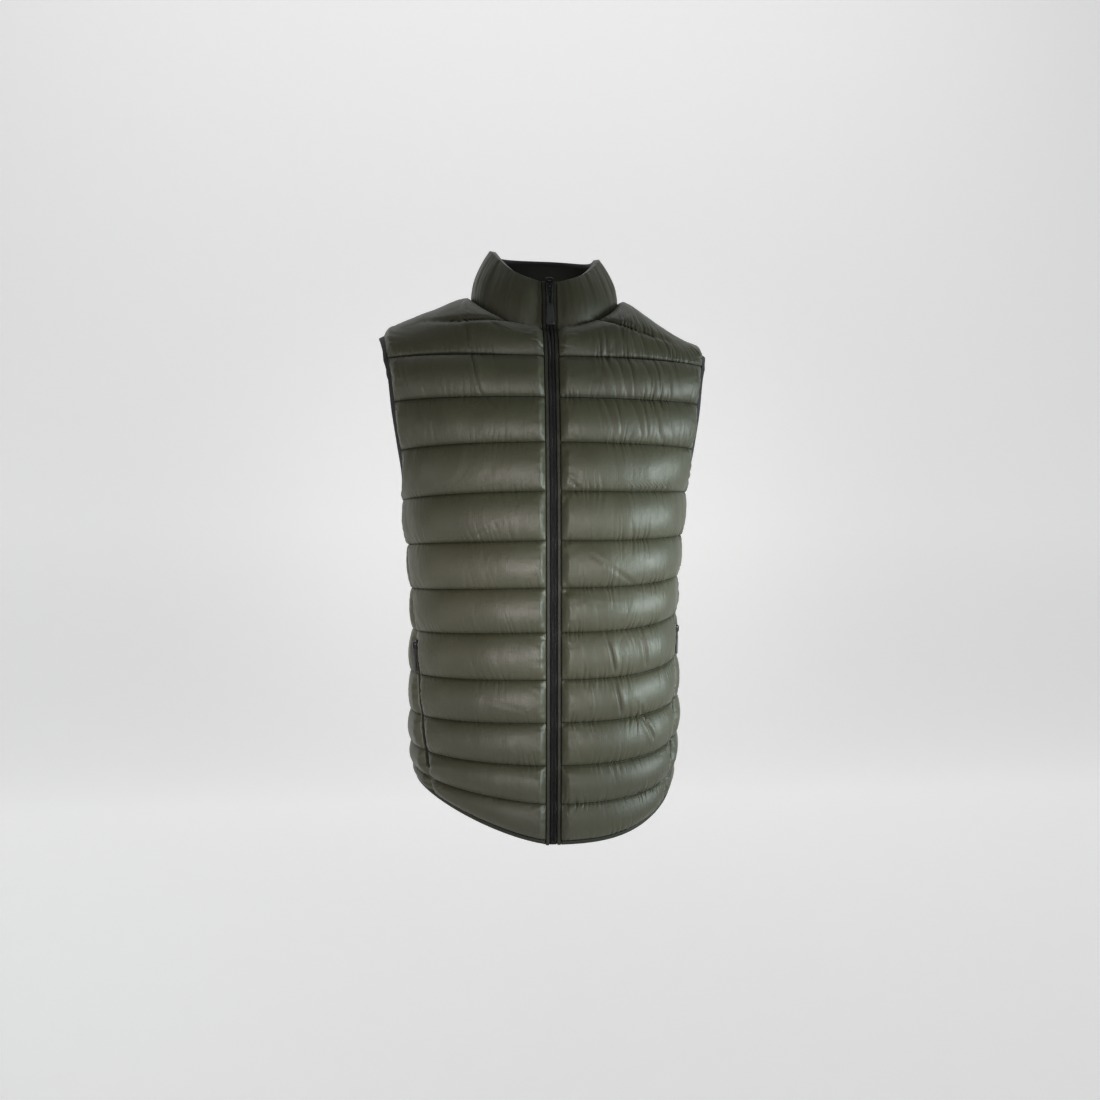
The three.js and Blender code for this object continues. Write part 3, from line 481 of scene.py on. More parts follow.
def padding(facing, turn, point, normal, band, level, edge):
    """How far the outer cloth stands in front of the seam surface, with its puckers, gathers and creases."""
    profile, to_line = channel_profile(point, band, level)
    walk = walk_across(point)
    seed = 3 * facing + 7 * turn + 20
    channel = np.where(band > 0, -1 - np.floor(band * 2), np.floor(level))
    line = np.where(band > 0, -np.round(band * 2), np.round(level))
    fade = smooth(edge / FINE_FADE) ** 0.6
    calm = mix(1, SIDE_PUFF, smooth((np.abs(normal[..., 0]) - SIDE_FROM) / (1 - SIDE_FROM)))
    height = WALL_OUT + PUFF * profile * mix(EDGE_SHARE, 1, fade) * calm
    # down clusters make a crest uneven; each channel and line moves its waves along, so that no two are alike
    (long_deep, long_wave), (short_deep, short_wave) = CREST_LONG, CREST_SHORT
    uneven = long_deep * ripple(walk + 31 * channel, long_wave, seed + 1)
    height += profile * fade * (uneven + short_deep * ripple(walk - 57 * channel, short_wave, seed))
    # puckers radiate from each stitch line and die out before the crest
    lean = 0.35 * ripple(walk + 90 * line, 120, seed + 5)
    place = walk + lean * to_line + 4 * ripple(walk + 71 * line, 33, seed + 2)
    strength = PUCKER[(facing, turn)] * (0.2 + 0.8 * smooth(0.5 + 1.1 * ripple(walk + 43 * line, 96, seed + 3)))
    above = np.where((level % 1 > 0.5) | (band > 0), 1, UNDER_LINE)
    reach = LONG_PUCKER_REACH + 4 * ripple(walk + 17 * line, 41, seed + 7)
    near = np.exp(-to_line / reach) * smooth(to_line / 2)
    height += above * strength * LONG_PUCKER[0] * near * folds(place, LONG_PUCKER)
    height += strength * SHORT_PUCKER[0] * np.exp(-to_line / SHORT_PUCKER_REACH) * folds(place, SHORT_PUCKER)
    # short gathers beside the zip and the side seam
    beside = np.exp(-edge / GATHER_REACH) * smooth(edge / 2.5)
    down = point[..., 2] + 0.6 * edge * ripple(point[..., 2], 52, seed + 4) + 5 * ripple(point[..., 2], 60, seed)
    height += beside * (LONG_GATHER[0] * folds(down, LONG_GATHER) + SHORT_GATHER[0] * folds(down, SHORT_GATHER))
    if facing < 0:
        x, z = point[..., 0], point[..., 2]
        spot = np.where(band > 0, -band, level)
        for side, (x0, x1), (l0, l1), depth in GATHERS:
            if side != turn:
                continue
            mask = smooth((np.abs(x) - x0) / GATHER_FADE) * smooth((x1 - np.abs(x)) / GATHER_FADE)
            mask = mask * smooth((spot - l0) / LEVEL_FADE) * smooth((l1 - spot) / LEVEL_FADE)
            slant = walk + 0.25 * z + 7 * ripple(walk + 20 * channel, 51, seed + 9)
            height += mask * depth * (pinch(slant / GATHER_PITCH) - 0.75) * smooth(to_line / 3)
        for side, a, b, width, depth in CREASES:
            if side != turn:
                continue
            away, f = segment_distance(x, z, a, b)
            ends = 0.35 + 0.65 * np.sin(math.pi * np.clip(f, 0.02, 0.98)) ** 0.5
            valley = np.exp(-(away / (width * CREASE_VALLEY)) ** 2)
            lips = np.exp(-((away - width) / (width * CREASE_LIP)) ** 2)
            height += ends * depth * (LIP_SHARE * lips - valley) * smooth(to_line / 3)
    return np.maximum(height, WALL_OUT * 0.7), to_line


def grid_faces(rows, columns, flip=False):
    ids = np.arange(rows * columns).reshape(rows, columns)
    a, b, c, d = ids[:-1, :-1], ids[1:, :-1], ids[1:, 1:], ids[:-1, 1:]
    order = (a, d, c, b) if flip else (a, b, c, d)
    return np.stack([part.ravel() for part in order], -1)


def mesh_object(name, points, faces, material, smooth_shaded=True):
    mesh = bpy.data.meshes.new(name)
    mesh.from_pydata((np.asarray(points) * MM).tolist(), [], [list(map(int, face)) for face in faces])
    mesh.update()
    if smooth_shaded:
        mesh.shade_smooth()
    mesh.materials.append(material)
    obj = bpy.data.objects.new(name, mesh)
    bpy.context.scene.collection.objects.link(obj)
    return obj


def edge_loop(rows, columns):
    """Ids round a grid: along the top, down, back along the bottom and up."""
    ids = np.arange(rows * columns).reshape(rows, columns)
    return np.concatenate([ids[0], ids[1:, -1], ids[-1, -2::-1], ids[-2:0:-1, 0]])


def sparse(count, step):
    return sorted({*range(0, count, step), count - 1})


def wall_object(name, outer, inner, material, row_step, column_step):
    """A closed cloth wall from an outer and an inner grid; the plain inner skin keeps few of its rows and columns."""
    rows, columns = outer.shape[:2]
    count = rows * columns
    kept_rows, kept_columns = sparse(rows, row_step), sparse(columns, column_step)
    inner = inner[np.ix_(kept_rows, kept_columns)]
    inner_ids = {}
    for i, r in enumerate(kept_rows):
        for j, c in enumerate(kept_columns):
            inner_ids[r * columns + c] = count + i * len(kept_columns) + j
    loop = edge_loop(rows, columns).tolist()
    stops = [k for k, v in enumerate(loop) if v in inner_ids] + [len(loop)]
    loop.append(loop[0])
    faces = grid_faces(rows, columns).tolist()
    faces += (grid_faces(len(kept_rows), len(kept_columns), True) + count).tolist()
    for first, last in zip(stops, stops[1:]):
        between = loop[first:last + 1]
        faces.append(between + [inner_ids[between[-1]], inner_ids[between[0]]])
    return mesh_object(name, np.concatenate([outer.reshape(-1, 3), inner.reshape(-1, 3)]), faces, material)


def row_list(per_channel, in_band):
    """Rows of a panel from its upper edge to the hem, closer together beside the stitch lines."""
    steps = np.arange(per_channel) / per_channel
    steps = mix(steps, 0.5 - 0.5 * np.cos(math.pi * steps), ROWS_CLOSER)
    band = 1 - np.arange(in_band) / in_band
    levels = np.concatenate([k + steps for k in range(HEM)] + [[HEM_LEVEL]])
    return np.concatenate([band, np.zeros(len(levels))]), np.concatenate([np.zeros(in_band), levels])


def panel_grids(facing, turn, columns, per_channel, in_band):
    neck = round(columns * NECK_SHARE)
    across = np.concatenate([NECK_SHARE * np.arange(neck) / neck,
                             mix(NECK_SHARE, 1, np.arange(columns - neck + 1) / (columns - neck))])
    band, level = row_list(per_channel, in_band)
    across, band, level = np.broadcast_arrays(across[None, :], band[:, None], level[:, None])
    point, normal = panel_surface(facing, turn, across, band, level)
    return point, normal, band, level


def order_columns(arrays, backward):
    return [a[:, ::-1] if backward else a for a in arrays]


def front_panel(turn):
    arrays = panel_grids(-1, turn, FRONT_COLUMNS, FRONT_ROWS, BAND_ROWS)
    point, normal, band, level = order_columns(arrays, turn < 0)
    walk = walk_across(point)
    back_walk = walk[:, -1:] - walk
    from_zip, from_side = (back_walk, walk) if turn < 0 else (walk, back_walk)
    edge = np.minimum(from_zip * ZIP_SIDE_FADE, from_side)
    height, to_line = padding(-1, turn, point, normal, band, level, edge)
    return point + normal * height[..., None], point - normal * WALL_IN, to_line


def back_panel():
    halves = []
    for turn in (1, -1):
        arrays = order_columns(panel_grids(1, turn, BACK_COLUMNS, BACK_ROWS, BAND_ROWS), turn > 0)
        halves.append([a[:, 1:] if turn < 0 else a for a in arrays])
    point, normal, band, level = (np.concatenate(pair, 1) for pair in zip(*halves))
    walk = walk_across(point)
    edge = np.minimum(walk, walk[:, -1:] - walk)
    height, to_line = padding(1, 1, point, normal, band, level, edge)
    return point + normal * height[..., None], point - normal * WALL_IN, to_line


def collar_surface(facing, turn, neck, high):
    facing, turn, neck, high = np.broadcast_arrays(facing, turn, neck, high)
    front = facing < 0
    low = turn * mix(np.where(front, angle_at(STRIP_HALF, NECK_HALF), math.pi), math.pi / 2, neck)
    top = turn * mix(np.where(front, angle_at(STRIP_HALF, TOP_HALF), math.pi), math.pi / 2, neck)
    f = high[..., None]
    point = mix(neck_point(low), collar_top(top), f)
    lean = unit(np.stack([np.sin(top), -np.cos(top), 0.12 + 0 * top], -1))
    normal = unit(mix(neck_normal(low), lean, smooth(f * 1.6)))
    point[..., 2] += SEAM_GAP * (1 - high) * 1.6
    return point, normal


def collar_grids(columns, rows):
    quarter = np.arange(columns + 1) / columns
    facing = np.concatenate([-np.ones(columns + 1), np.ones(2 * columns - 1), -np.ones(columns + 1)])
    turn = np.concatenate([np.ones(2 * columns + 1), -np.ones(2 * columns)])
    neck = np.concatenate([quarter, quarter[-2::-1], quarter[1:], quarter[-2::-1]])
    steps = 1 - np.arange(rows + 1) / rows
    steps = mix(steps, 0.5 - 0.5 * np.cos(math.pi * steps), COLLAR_ROWS_CLOSER)
    point, normal = collar_surface(facing[None, :], turn[None, :], neck[None, :], steps[:, None])
    walk = walk_across(point)
    walk = np.broadcast_to(walk[rows // 2], walk.shape)
    high = np.broadcast_to(steps[:, None], walk.shape)
    edge = np.minimum(walk, walk[:, -1:] - walk)
    profile = np.sin(math.pi * high * COLLAR_ROLL) ** 0.6
    height = WALL_OUT + COLLAR_PUFF * profile * mix(COLLAR_EDGE_SHARE, 1, smooth(edge / EDGE_FADE))
    to_line = np.minimum(high, 1 - high) * COLLAR_HIGH
    (long_deep, long_wave), (short_deep, short_wave) = COLLAR_LONG, COLLAR_SHORT
    height += profile * (long_deep * ripple(walk, long_wave, 4.2) + short_deep * ripple(walk, short_wave, 6.1))
    # gathers run up the whole collar, deepest at its two seams
    place = walk + 5 * ripple(walk, 47, 2.5) + 0.12 * to_line * ripple(walk, 90, 1.5)
    strength = 0.3 + 0.7 * smooth(0.5 + ripple(walk, 70, 8.3))
    near = mix(0.1, 1, np.exp(-to_line / 9))
    height += strength * LONG_COLLAR_GATHER[0] * near * smooth(to_line / 2) * folds(place, LONG_COLLAR_GATHER)
    height += SHORT_COLLAR_GATHER[0] * np.exp(-to_line / 5) * folds(place, SHORT_COLLAR_GATHER)
    return point + normal * np.maximum(height, 1.0)[..., None], point - normal * WALL_IN, high * COLLAR_HIGH


def strip_object(name, point, out, side, section, material, closed=False):
    """A strip with one rounded section along a route, the section given in out and side."""
    section = np.asarray(section, float)
    loops = point[:, None] + out[:, None] * section[None, :, :1] + side[:, None] * section[None, :, 1:2]
    rows, count = loops.shape[:2]
    ids = np.arange(rows * count).reshape(rows, count)
    after = np.roll(ids, -1, 0) if closed else ids[1:]
    before = ids if closed else ids[:-1]
    faces = np.stack([before, after, np.roll(after, -1, 1), np.roll(before, -1, 1)], -1).reshape(-1, 4).tolist()
    if not closed:
        faces += [ids[0].tolist(), ids[-1][::-1].tolist()]
    obj = mesh_object(name, loops.reshape(-1, 3), faces, material)
    outward_faces(obj)
    return obj


def outward_faces(obj):
    made = bmesh.new()
    made.from_mesh(obj.data)
    bmesh.ops.recalc_face_normals(made, faces=made.faces)
    made.to_mesh(obj.data)
    made.free()


def ways_along(points, closed=False):
    if closed:
        ahead = unit(np.roll(points, -1, 0) - points)
        behind = unit(points - np.roll(points, 1, 0))
    else:
        steps = unit(np.diff(points, axis=0))
        ahead = np.concatenate([steps, steps[-1:]])
        behind = np.concatenate([steps[:1], steps])
    return unit(ahead + behind)


def resampled(arrays, spacing, closed=False):
    """A route's points and their other values, evenly spaced by arc length."""
    points = arrays[0]
    loop = np.concatenate([points, points[:1]]) if closed else points
    walk = np.concatenate([[0], np.cumsum(np.linalg.norm(np.diff(loop, axis=0), axis=1))])
    count = max(int(round(walk[-1] / spacing)), 2)
    places = np.linspace(0, walk[-1], count + 1)[:-1 if closed else None]
    result = []
    for values in arrays:
        values = np.concatenate([values, values[:1]]) if closed else values
        result.append(np.stack([np.interp(places, walk, values[:, k]) for k in range(values.shape[1])], -1))
    return result


def rounded(section, radius, steps=3):
    """A closed section whose corners are arcs."""
    section = np.asarray(section, float)
    result = []
    for i, corner in enumerate(section):
        before, after = section[i - 1], section[(i + 1) % len(section)]
        a = corner + unit(before - corner) * radius
        b = corner + unit(after - corner) * radius
        for k in range(steps + 1):
            f = k / steps
            result.append(a * (1 - f) ** 2 + corner * 2 * f * (1 - f) + b * f * f)
    return np.array(result)


def armhole_route(turn):
    band, level = row_list(*ARMHOLE_ROWS)
    z = level_z(level, turn * math.pi / 2)
    keep = (band > 0) | (z > ARM_BOTTOM[turn] - ARMHOLE_BELOW)
    band, level = band[keep], level[keep]
    front, front_normal = panel_surface(-1, turn, np.ones(len(band)), band, level)
    back, back_normal = panel_surface(1, turn, np.ones(len(band)), band, level)
    points = np.concatenate([front, back[::-1][1:-1]])
    normals = np.concatenate([front_normal, back_normal[::-1][1:-1]])
    points, normals = resampled([points, normals], TRIM_SPACING, closed=True)
    normals = unit(normals)
    ways = ways_along(points, closed=True)
    side = unit(np.cross(normals, ways)) * turn
    return points, normals, side


def box_section(low_out, high_out, near, far):
    return [(low_out, near), (high_out, near), (high_out, far), (low_out, far)]


def hem_route():
    across = np.linspace(0, 1, HEM_STEPS)
    pieces = [(-1, 1, across), (1, 1, across[::-1]), (1, -1, across[1:]), (-1, -1, across[::-1])]
    made = [panel_surface(facing, turn, part, 0 * part, 0 * part + HEM_LEVEL) for facing, turn, part in pieces]
    points = np.concatenate([point for point, normal in made])
    normals = np.concatenate([normal for point, normal in made])
    points, normals = resampled([points, normals], TRIM_SPACING)
    normals = unit(normals)
    side = unit(np.cross(ways_along(points), normals))
    side *= np.where(side[:, 2:] < 0, 1, -1)
    return points, normals, side


def zip_route(spacing):
    """Centre line of the front zip, from the top of the collar to the hem."""
    collar = collar_surface(-1, 1, 0.0, np.linspace(*COLLAR_ZIP))[0]
    band, level = row_list(*ZIP_ROWS)
    body = panel_surface(-1, 1, 0.0, band, level)[0]
    points = np.concatenate([collar, body])
    points[:, 0] = 0
    points[-1, 2] -= HEM_WIDTH
    kernel = np.ones(ZIP_SMOOTHING) / ZIP_SMOOTHING
    padded = np.pad(points, ((ZIP_SMOOTHING // 2,) * 2, (0, 0)), mode="edge")
    smoothed = np.stack([np.convolve(column, kernel, "valid") for column in padded.T], -1)
    smoothed[[0, -1]] = points[[0, -1]]
    points, = resampled([smoothed], spacing)
    side = np.tile([1.0, 0, 0], (len(points), 1))
    return points, unit(np.cross(ways_along(points), side)), side


def seam_route(turn, levels):
    angle = seam_angle(turn, levels)
    z = level_z(levels, angle)
    points = body_point(angle, z)
    ways = ways_along(points)
    out = body_normal(angle, z)
    out = unit(out - ways * np.sum(out * ways, -1, keepdims=True))
    return points, out, unit(np.cross(ways, out))


def bead_shape(length, width, height, rings=5, sides=6):
    """A small rounded bar lying along its first axis, as points and quads."""
    points, faces = [], []
    for r in range(rings):
        f = r / (rings - 1) * 2 - 1
        size = max(1 - abs(f) ** 3, 0.25)
        for s in range(sides):
            a = 2 * math.pi * s / sides
            points.append((f * length / 2, math.cos(a) * width / 2 * size, math.sin(a) * height / 2 * size))
    for r in range(rings - 1):
        for s in range(sides):
            t = (s + 1) % sides
            faces.append([r * sides + s, r * sides + t, (r + 1) * sides + t, (r + 1) * sides + s])
    faces.append(list(range(sides))[::-1])
    faces.append([(rings - 1) * sides + s for s in range(sides)])
    return np.array(points), faces


def scattered(name, shape, centres, along, out, material):
    """One joined mesh of copies of a small shape, each turned to its own directions."""
    points, faces = shape
    across = unit(np.cross(out, along))
    out = unit(np.cross(along, across))
    placed = (centres[:, None] + points[None, :, :1] * along[:, None] + points[None, :, 1:2] * across[:, None]
              + points[None, :, 2:3] * out[:, None])
    shift = len(points) * np.arange(len(centres))
    joined = [[i + s for i in face] for s in shift for face in faces]
    return mesh_object(name, placed.reshape(-1, 3), joined, material)


def stitches_on(name, outer_rows, material):
    """Thread lying in the stitch lines of a dense grid, given as rows of outer points."""
    centres, ways, outs = [], [], []
    for row, normal in outer_rows:
        points, normals = resampled([row, normal], STITCH_PITCH)
        centres.append(points)
        ways.append(ways_along(points))
        outs.append(unit(normals))
    thread_bar = bead_shape(STITCH_LONG, STITCH_THICK, STITCH_THICK)
    return scattered(name, thread_bar, np.concatenate(centres), np.concatenate(ways), np.concatenate(outs), material)


def line_rows(outer, normals, per_channel, in_band):
    """The outer points on each stitch line of a panel's grid, lifted by half a thread."""
    rows = [in_band + k * per_channel for k in range(HEM)]
    return [(outer[r, 2:-2] + normals[r, 2:-2] * 0.05, normals[r, 2:-2]) for r in rows]


# Materials
def new_material(name, base, rough, metal=0.0, sheen=0.0):
    material = bpy.data.materials.new(name)
    material.use_nodes = True
    shader = material.node_tree.nodes["Principled BSDF"]
    shader.inputs["Base Color"].default_value = (*base, 1)
    shader.inputs["Roughness"].default_value = rough
    shader.inputs["Metallic"].default_value = metal
    shader.inputs["Sheen Weight"].default_value = sheen
    return material, material.node_tree, shader


def add_noise(tree, scale, detail=3.0, rough=0.55, stretch=None):
    coordinates = tree.nodes.new("ShaderNodeTexCoord")
    noise = tree.nodes.new("ShaderNodeTexNoise")
    noise.inputs["Scale"].default_value = scale
    noise.inputs["Detail"].default_value = detail
    noise.inputs["Roughness"].default_value = rough
    source = coordinates.outputs["Object"]
    if stretch:
        mapping = tree.nodes.new("ShaderNodeMapping")
        mapping.inputs["Scale"].default_value = stretch
        tree.links.new(source, mapping.inputs["Vector"])
        source = mapping.outputs["Vector"]
    tree.links.new(source, noise.inputs["Vector"])
    return noise.outputs["Fac"]


def colour_between(tree, factor, low, high, shader, start=0.35, end=0.65):
    ramp = tree.nodes.new("ShaderNodeValToRGB")
    ramp.color_ramp.elements[0].position = start
    ramp.color_ramp.elements[1].position = end
    ramp.color_ramp.elements[0].color = (*low, 1)
    ramp.color_ramp.elements[1].color = (*high, 1)
    tree.links.new(factor, ramp.inputs["Fac"])
    tree.links.new(ramp.outputs["Color"], shader.inputs["Base Color"])


def value_between(tree, factor, low, high, socket, start=0.3, end=0.7):
    spread = tree.nodes.new("ShaderNodeMapRange")
    spread.inputs["From Min"].default_value = start
    spread.inputs["From Max"].default_value = end
    spread.inputs["To Min"].default_value = low
    spread.inputs["To Max"].default_value = high
    tree.links.new(factor, spread.inputs["Value"])
    tree.links.new(spread.outputs["Result"], socket)


def add_bump(tree, height, distance, strength, shader, under=None):
    bump = tree.nodes.new("ShaderNodeBump")
    bump.inputs["Distance"].default_value = distance
    bump.inputs["Strength"].default_value = strength
    tree.links.new(height, bump.inputs["Height"])
    if under is not None:
        tree.links.new(under, bump.inputs["Normal"])
    tree.links.new(bump.outputs["Normal"], shader.inputs["Normal"])
    return bump.outputs["Normal"]


def add_weave(tree, threads_per_metre):
    """Crossing threads: two fine waves added together."""
    coordinates = tree.nodes.new("ShaderNodeTexCoord")
    waves = []
    for direction in ("X", "Z"):
        wave = tree.nodes.new("ShaderNodeTexWave")
        wave.bands_direction = direction
        wave.inputs["Scale"].default_value = threads_per_metre / 20
        tree.links.new(coordinates.outputs["Object"], wave.inputs["Vector"])
        waves.append(wave.outputs["Fac"])
    crossed = tree.nodes.new("ShaderNodeMath")
    crossed.operation = "ADD"
    tree.links.new(waves[0], crossed.inputs[0])
    tree.links.new(waves[1], crossed.inputs[1])
    return crossed.outputs["Value"]


def shell_material():
    material, tree, shader = new_material("shell_nylon", OLIVE, 0.52, sheen=0.12)
    shader.inputs["Sheen Roughness"].default_value = 0.4
    shader.inputs["Sheen Tint"].default_value = (0.72, 0.8, 0.7, 1)
    # Painted shade: beside the stitch lines the colour turns to a dark olive and the gloss drops, standing in for the
    # shadow in the seams
    groove_painted_shade = tree.nodes.new("ShaderNodeAttribute")
    groove_painted_shade.attribute_name = "groove_painted_shade"
    gloss = shader.inputs["Specular IOR Level"]
    value_between(tree, groove_painted_shade.outputs["Fac"], SHELL_SPECULAR, PAINTED_SHADE_SPECULAR, gloss, 0.0, 0.9)
    colour_between(tree, add_noise(tree, 9, 4), OLIVE_DEEP, OLIVE_PALE, shader)
    painted_shade_mix = tree.nodes.new("ShaderNodeMix")
    painted_shade_mix.data_type = "RGBA"
    painted_shade_mix.blend_type = "MIX"
    tree.links.new(shader.inputs["Base Color"].links[0].from_socket, painted_shade_mix.inputs["A"])
    painted_shade_mix.inputs["B"].default_value = PAINTED_SHADE_OLIVE
    tree.links.new(groove_painted_shade.outputs["Fac"], painted_shade_mix.inputs["Factor"])
    tree.links.new(painted_shade_mix.outputs["Result"], shader.inputs["Base Color"])
    value_between(tree, add_noise(tree, 60, 3), 0.49, 0.56, shader.inputs["Roughness"])
    weave = add_bump(tree, add_weave(tree, 2600), 0.00008, 0.25, shader)
    wrinkles = add_bump(tree, add_noise(tree, 85, 3, 0.5, (1.8, 1.8, 0.7)), 0.0016, 0.3, shader, weave)
    add_bump(tree, add_noise(tree, 300, 2), 0.0005, 0.2, shader, wrinkles)
    return material


def trim_material(name, base, rough, metal, sheen, spots, uneven, weave, grain, depth, strength):
    """A plainer material, from a row of TRIMS."""
    material, tree, shader = new_material(name, base, rough, metal, sheen)
    if uneven:
        scale, low, high = uneven
        value_between(tree, add_noise(tree, scale), low, high, shader.inputs["Roughness"])
    if spots:
        scale, detail, low, high = spots
        colour_between(tree, add_noise(tree, scale, detail), low, high, shader)
    pattern = add_weave(tree, weave) if weave else add_noise(tree, grain, 2)
    add_bump(tree, pattern, depth, strength, shader)
    return material


shell = shell_material()
lining, trim_olive, binding, tape, coil, slider_black, pull_black, thread = (trim_material(*row) for row in TRIMS)


def add_detail(piece):
    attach(piece, "vest")


def dress(piece, node):
    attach(piece, "vest")
    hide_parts(node)


def line_inside(piece, outer_count):
    """The faces of a wall's inner skin take the lining."""
    piece.data.materials.append(lining)
    for face in piece.data.polygons:
        if all(v >= outer_count for v in face.vertices):
            face.material_index = 1


def paint_groove_shade(piece, to_line):
    """Stores how near each outer point is to a stitch line; there the shell paints shade, darkening its colour and
    lowering its gloss.
    """
    near = np.exp(-(to_line.ravel() / PAINTED_SHADE_WIDE) ** 2)
    values = np.zeros(len(piece.data.vertices), dtype=np.float32)
    values[:len(near)] = near
    piece.data.attributes.new("groove_painted_shade", "FLOAT", "POINT").data.foreach_set("value", values)


def add_panel(name, outer, inner, to_line):
    piece = wall_object(f"{name}_quilted", outer, inner, shell, *INNER_STEPS[name.split("_")[0]])
    line_inside(piece, outer.shape[0] * outer.shape[1])
    paint_groove_shade(piece, to_line)
    dress(piece, name)


def add_stitches(name, outer, inner, per_channel):
    normals = unit(outer - inner)
    piece = stitches_on(f"{name}_stitching", line_rows(outer, normals, per_channel, BAND_ROWS), thread)
    add_detail(piece)


for side_name, side_turn in SIDES:
    outer_grid, inner_grid, line_grid = front_panel(side_turn)
    add_panel(f"front_{side_name}", outer_grid, inner_grid, line_grid)
    add_stitches(f"front_{side_name}", outer_grid, inner_grid, FRONT_ROWS)

outer_grid, inner_grid, line_grid = back_panel()
add_panel("back", outer_grid, inner_grid, line_grid)
add_stitches("back", outer_grid, inner_grid, BACK_ROWS)
add_panel("collar", *collar_grids(COLLAR_COLUMNS, COLLAR_ROWS))

for side_name, side_turn in SIDES:
    route, out, side = armhole_route(side_turn)
    section = rounded(box_section(-TRIM_IN, TRIM_OUT, SEAM_GAP, BINDING_WIDTH), BINDING_ROUND)
    piece = strip_object(f"armhole_binding_{side_name}_elastic", route, out, side, section, binding, closed=True)
    dress(piece, f"armhole_binding_{side_name}")

route, out, side = hem_route()
section = rounded(box_section(-TRIM_IN, TRIM_OUT, SEAM_GAP, HEM_WIDTH), HEM_ROUND)
piece = strip_object("hem_binding_elastic", route, out, side, section, trim_olive)
dress(piece, "hem_binding")

# Welts beside the zip, each a folded strip of shell cloth with a row of stitches along its outer edge
zip_points, zip_out, zip_side = zip_route(ZIP_SPACING)
for side_name, side_turn in SIDES:
    near, far = CHAIN_HALF + SEAM_GAP, STRIP_HALF - SEAM_GAP
    corners = [(WELT_IN, near), (WELT_OUT, near), (WELT_OUT, far - WELT_SLOPE), (WELT_IN, far)]
    section = rounded(corners, WELT_ROUND)
    wave = WELT_WAVE * ripple(np.arange(len(zip_points)) * ZIP_SPACING, WELT_WAVE_LONG, side_turn + 3)
    piece = strip_object(f"zip_welt_{side_name}_folded", zip_points + zip_out * wave[:, None], zip_out,
                         zip_side * side_turn, section, trim_olive)
    dress(piece, f"zip_welt_{side_name}")
    aside = zip_side[WELT_ENDS] * side_turn * (far - WELT_STITCH)
    rows = zip_points[WELT_ENDS] + aside + zip_out[WELT_ENDS] * (WELT_OUT + wave[WELT_ENDS, None])
    piece = stitches_on(f"zip_welt_{side_name}_stitching", [(rows, zip_out[WELT_ENDS])], thread)
    add_detail(piece)


def add_coil(name, points, out, side, width, lift, height):
    """Short bars that lean together in a closed chain, in two rows along a route."""
    centres, ways, outs = [], [], []
    for turn in (-1, 1):
        shifted = points + side * turn * width * COIL_ROW + out * lift
        shifted, normals, across = resampled([shifted, out, side], COIL_PITCH)
        along = ways_along(shifted)
        centres.append(shifted + along * COIL_PITCH * (COIL_ROW * turn))
        ways.append(unit(across * turn + along * COIL_LEAN))
        outs.append(unit(normals))
    tooth = bead_shape(width * COIL_WIDE, COIL_PITCH * COIL_LONG, height)
    piece = scattered(name, tooth, np.concatenate(centres), np.concatenate(ways), np.concatenate(outs), coil)
    add_detail(piece)


def tape_section(half, core, rise):
    """A tape tucked under the cloth beside it, with a thicker middle under the coil."""
    return [(TAPE_BACK, -half), (TAPE_FRONT, -half), (TAPE_FRONT, -core), (rise, TAPE_SLOPE - core),
            (rise, core - TAPE_SLOPE), (TAPE_FRONT, core), (TAPE_FRONT, half), (TAPE_BACK, half)]


half = STRIP_HALF + TAPE_TUCK
section = tape_section(half, CHAIN_HALF - SEAM_GAP, TAPE_CORE)
piece = strip_object("front_zip_tape", zip_points, zip_out, zip_side, section, tape)
dress(piece, "front_zip")
add_coil("front_zip_coil", *(part[FRONT_COIL_ENDS] for part in (zip_points, zip_out, zip_side)), *FRONT_COIL)
for side_name, side_turn in SIDES:
    route, out, side = seam_route(side_turn, np.linspace(*POCKET_TAPE_LEVELS))
    section = tape_section(POCKET_TAPE_HALF, POCKET_CORE_HALF, POCKET_TAPE_OUT)
    piece = strip_object(f"pocket_zip_{side_name}_tape", route, out, side, section, tape)
    dress(piece, f"pocket_zip_{side_name}")
    coil_route = seam_route(side_turn, np.linspace(*POCKET_COIL_LEVELS))
    add_coil(f"pocket_zip_{side_name}_coil", *coil_route, *POCKET_COIL)


def set_material(node, material):
    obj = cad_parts[node]
    obj.data.materials.clear()
    obj.data.materials.append(material)


set_material("front_slider", slider_black)
set_material("front_pull", pull_black)
for side_name, side_turn in SIDES:
    set_material(f"pocket_slider_{side_name}", slider_black)
    set_material(f"pocket_pull_{side_name}", pull_black)


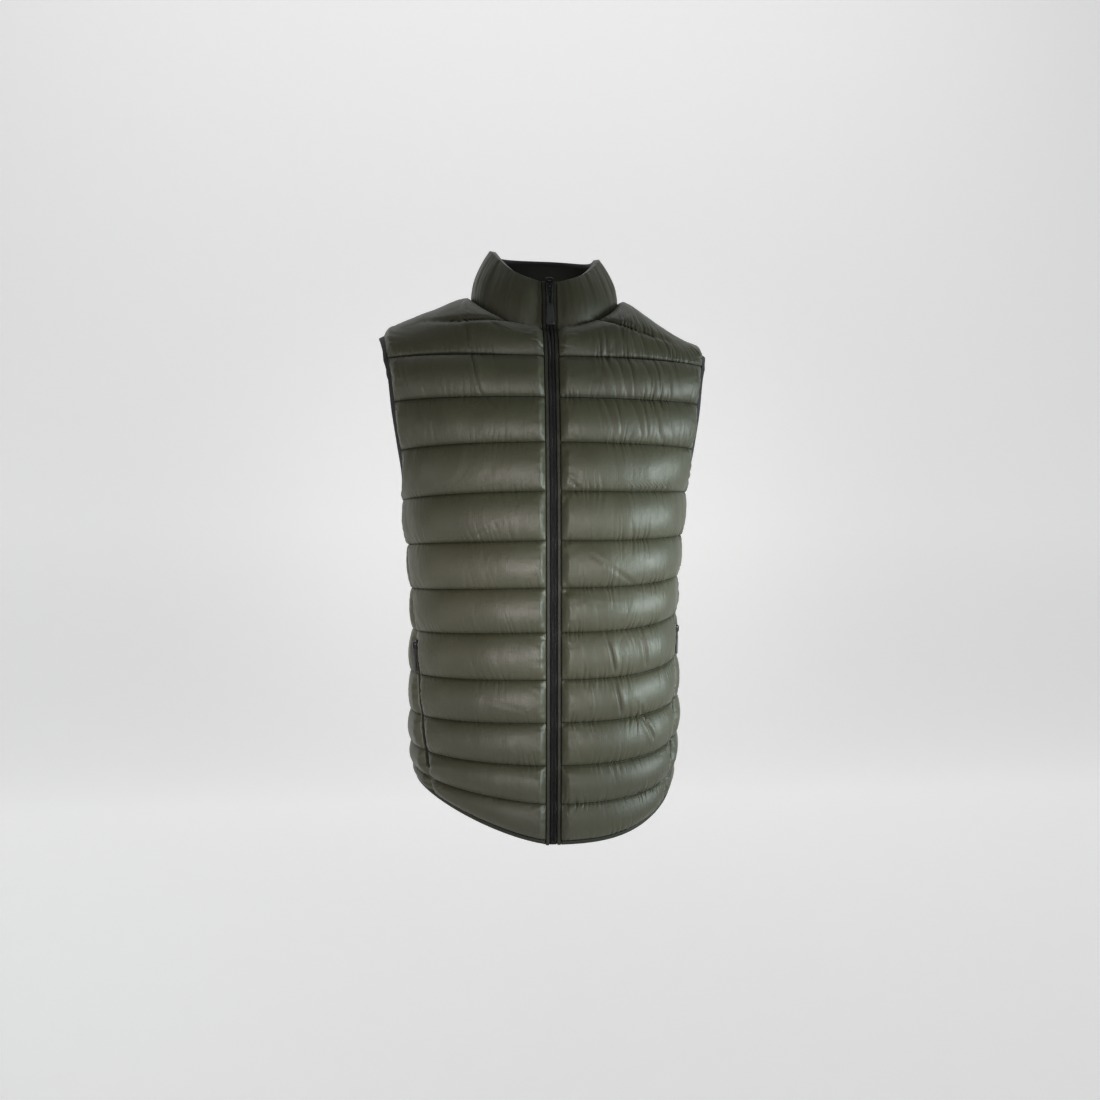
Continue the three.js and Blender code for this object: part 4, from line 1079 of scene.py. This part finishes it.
# Light and stage
def area_light(name, place, target, size, watts, colour, spread):
    data = bpy.data.lights.new(name, "AREA")
    data.spread = math.radians(spread)
    data.shape = "RECTANGLE"
    data.size, data.size_y = size
    data.energy = watts
    data.color = colour
    light = bpy.data.objects.new(name, data)
    light.location = place
    light.rotation_euler = (Vector(target) - Vector(place)).to_track_quat("-Z", "Y").to_euler()
    bpy.context.scene.collection.objects.link(light)


for light in LIGHTS:
    area_light(*light)

world = bpy.data.worlds.new("studio")
world.use_nodes = True
world.node_tree.nodes["Background"].inputs["Color"].default_value = WORLD_COLOUR
world.node_tree.nodes["Background"].inputs["Strength"].default_value = WORLD_STRENGTH
bpy.context.scene.world = world
bpy.context.scene.view_settings.view_transform = "Standard"


def backdrop():
    """A floor that curves up into a wall."""
    bend = WALL_Y - ARC_RADIUS
    profile = [(-BACKDROP_HALF, FLOOR_Z), (bend, FLOOR_Z)]
    for k in range(1, ARC_STEPS + 1):
        a = math.pi / 2 * k / ARC_STEPS
        profile.append((bend + ARC_RADIUS * math.sin(a), FLOOR_Z + ARC_RADIUS * (1 - math.cos(a))))
    profile.append((WALL_Y, WALL_TOP))
    points = np.array([[(x, y, z) for x in (-BACKDROP_HALF, BACKDROP_HALF)] for y, z in profile])
    material, tree, shader = new_material("backdrop_paper", (0.78, 0.78, 0.78), 0.9)
    colour_between(tree, add_noise(tree, 30), (0.77, 0.77, 0.77), (0.79, 0.79, 0.79), shader)
    shader.inputs["Emission Color"].default_value = (1, 1, 1, 1)
    shader.inputs["Emission Strength"].default_value = BACKDROP_GLOW
    sheet = mesh_object("backdrop", points.reshape(-1, 3) / MM, grid_faces(len(profile), 2), material)


backdrop()


def add_camera():
    data = bpy.data.cameras.new("camera")
    data.sensor_width = 36
    data.angle = VIEW_ANGLE
    data.shift_y = SHIFT_PIXELS / FRAME_PIXELS
    camera = bpy.data.objects.new("camera", data)
    right = Vector((math.cos(CAMERA_TURN), -math.sin(CAMERA_TURN), 0))
    ahead = Vector((math.sin(CAMERA_TURN), math.cos(CAMERA_TURN), 0))
    camera.location = -ahead * CAMERA_DISTANCE + right * AIM_ASIDE + Vector((0, 0, CAMERA_HEIGHT))
    camera.rotation_euler = ahead.to_track_quat("-Z", "Y").to_euler()
    bpy.context.scene.collection.objects.link(camera)
    bpy.context.scene.camera = camera


add_camera()
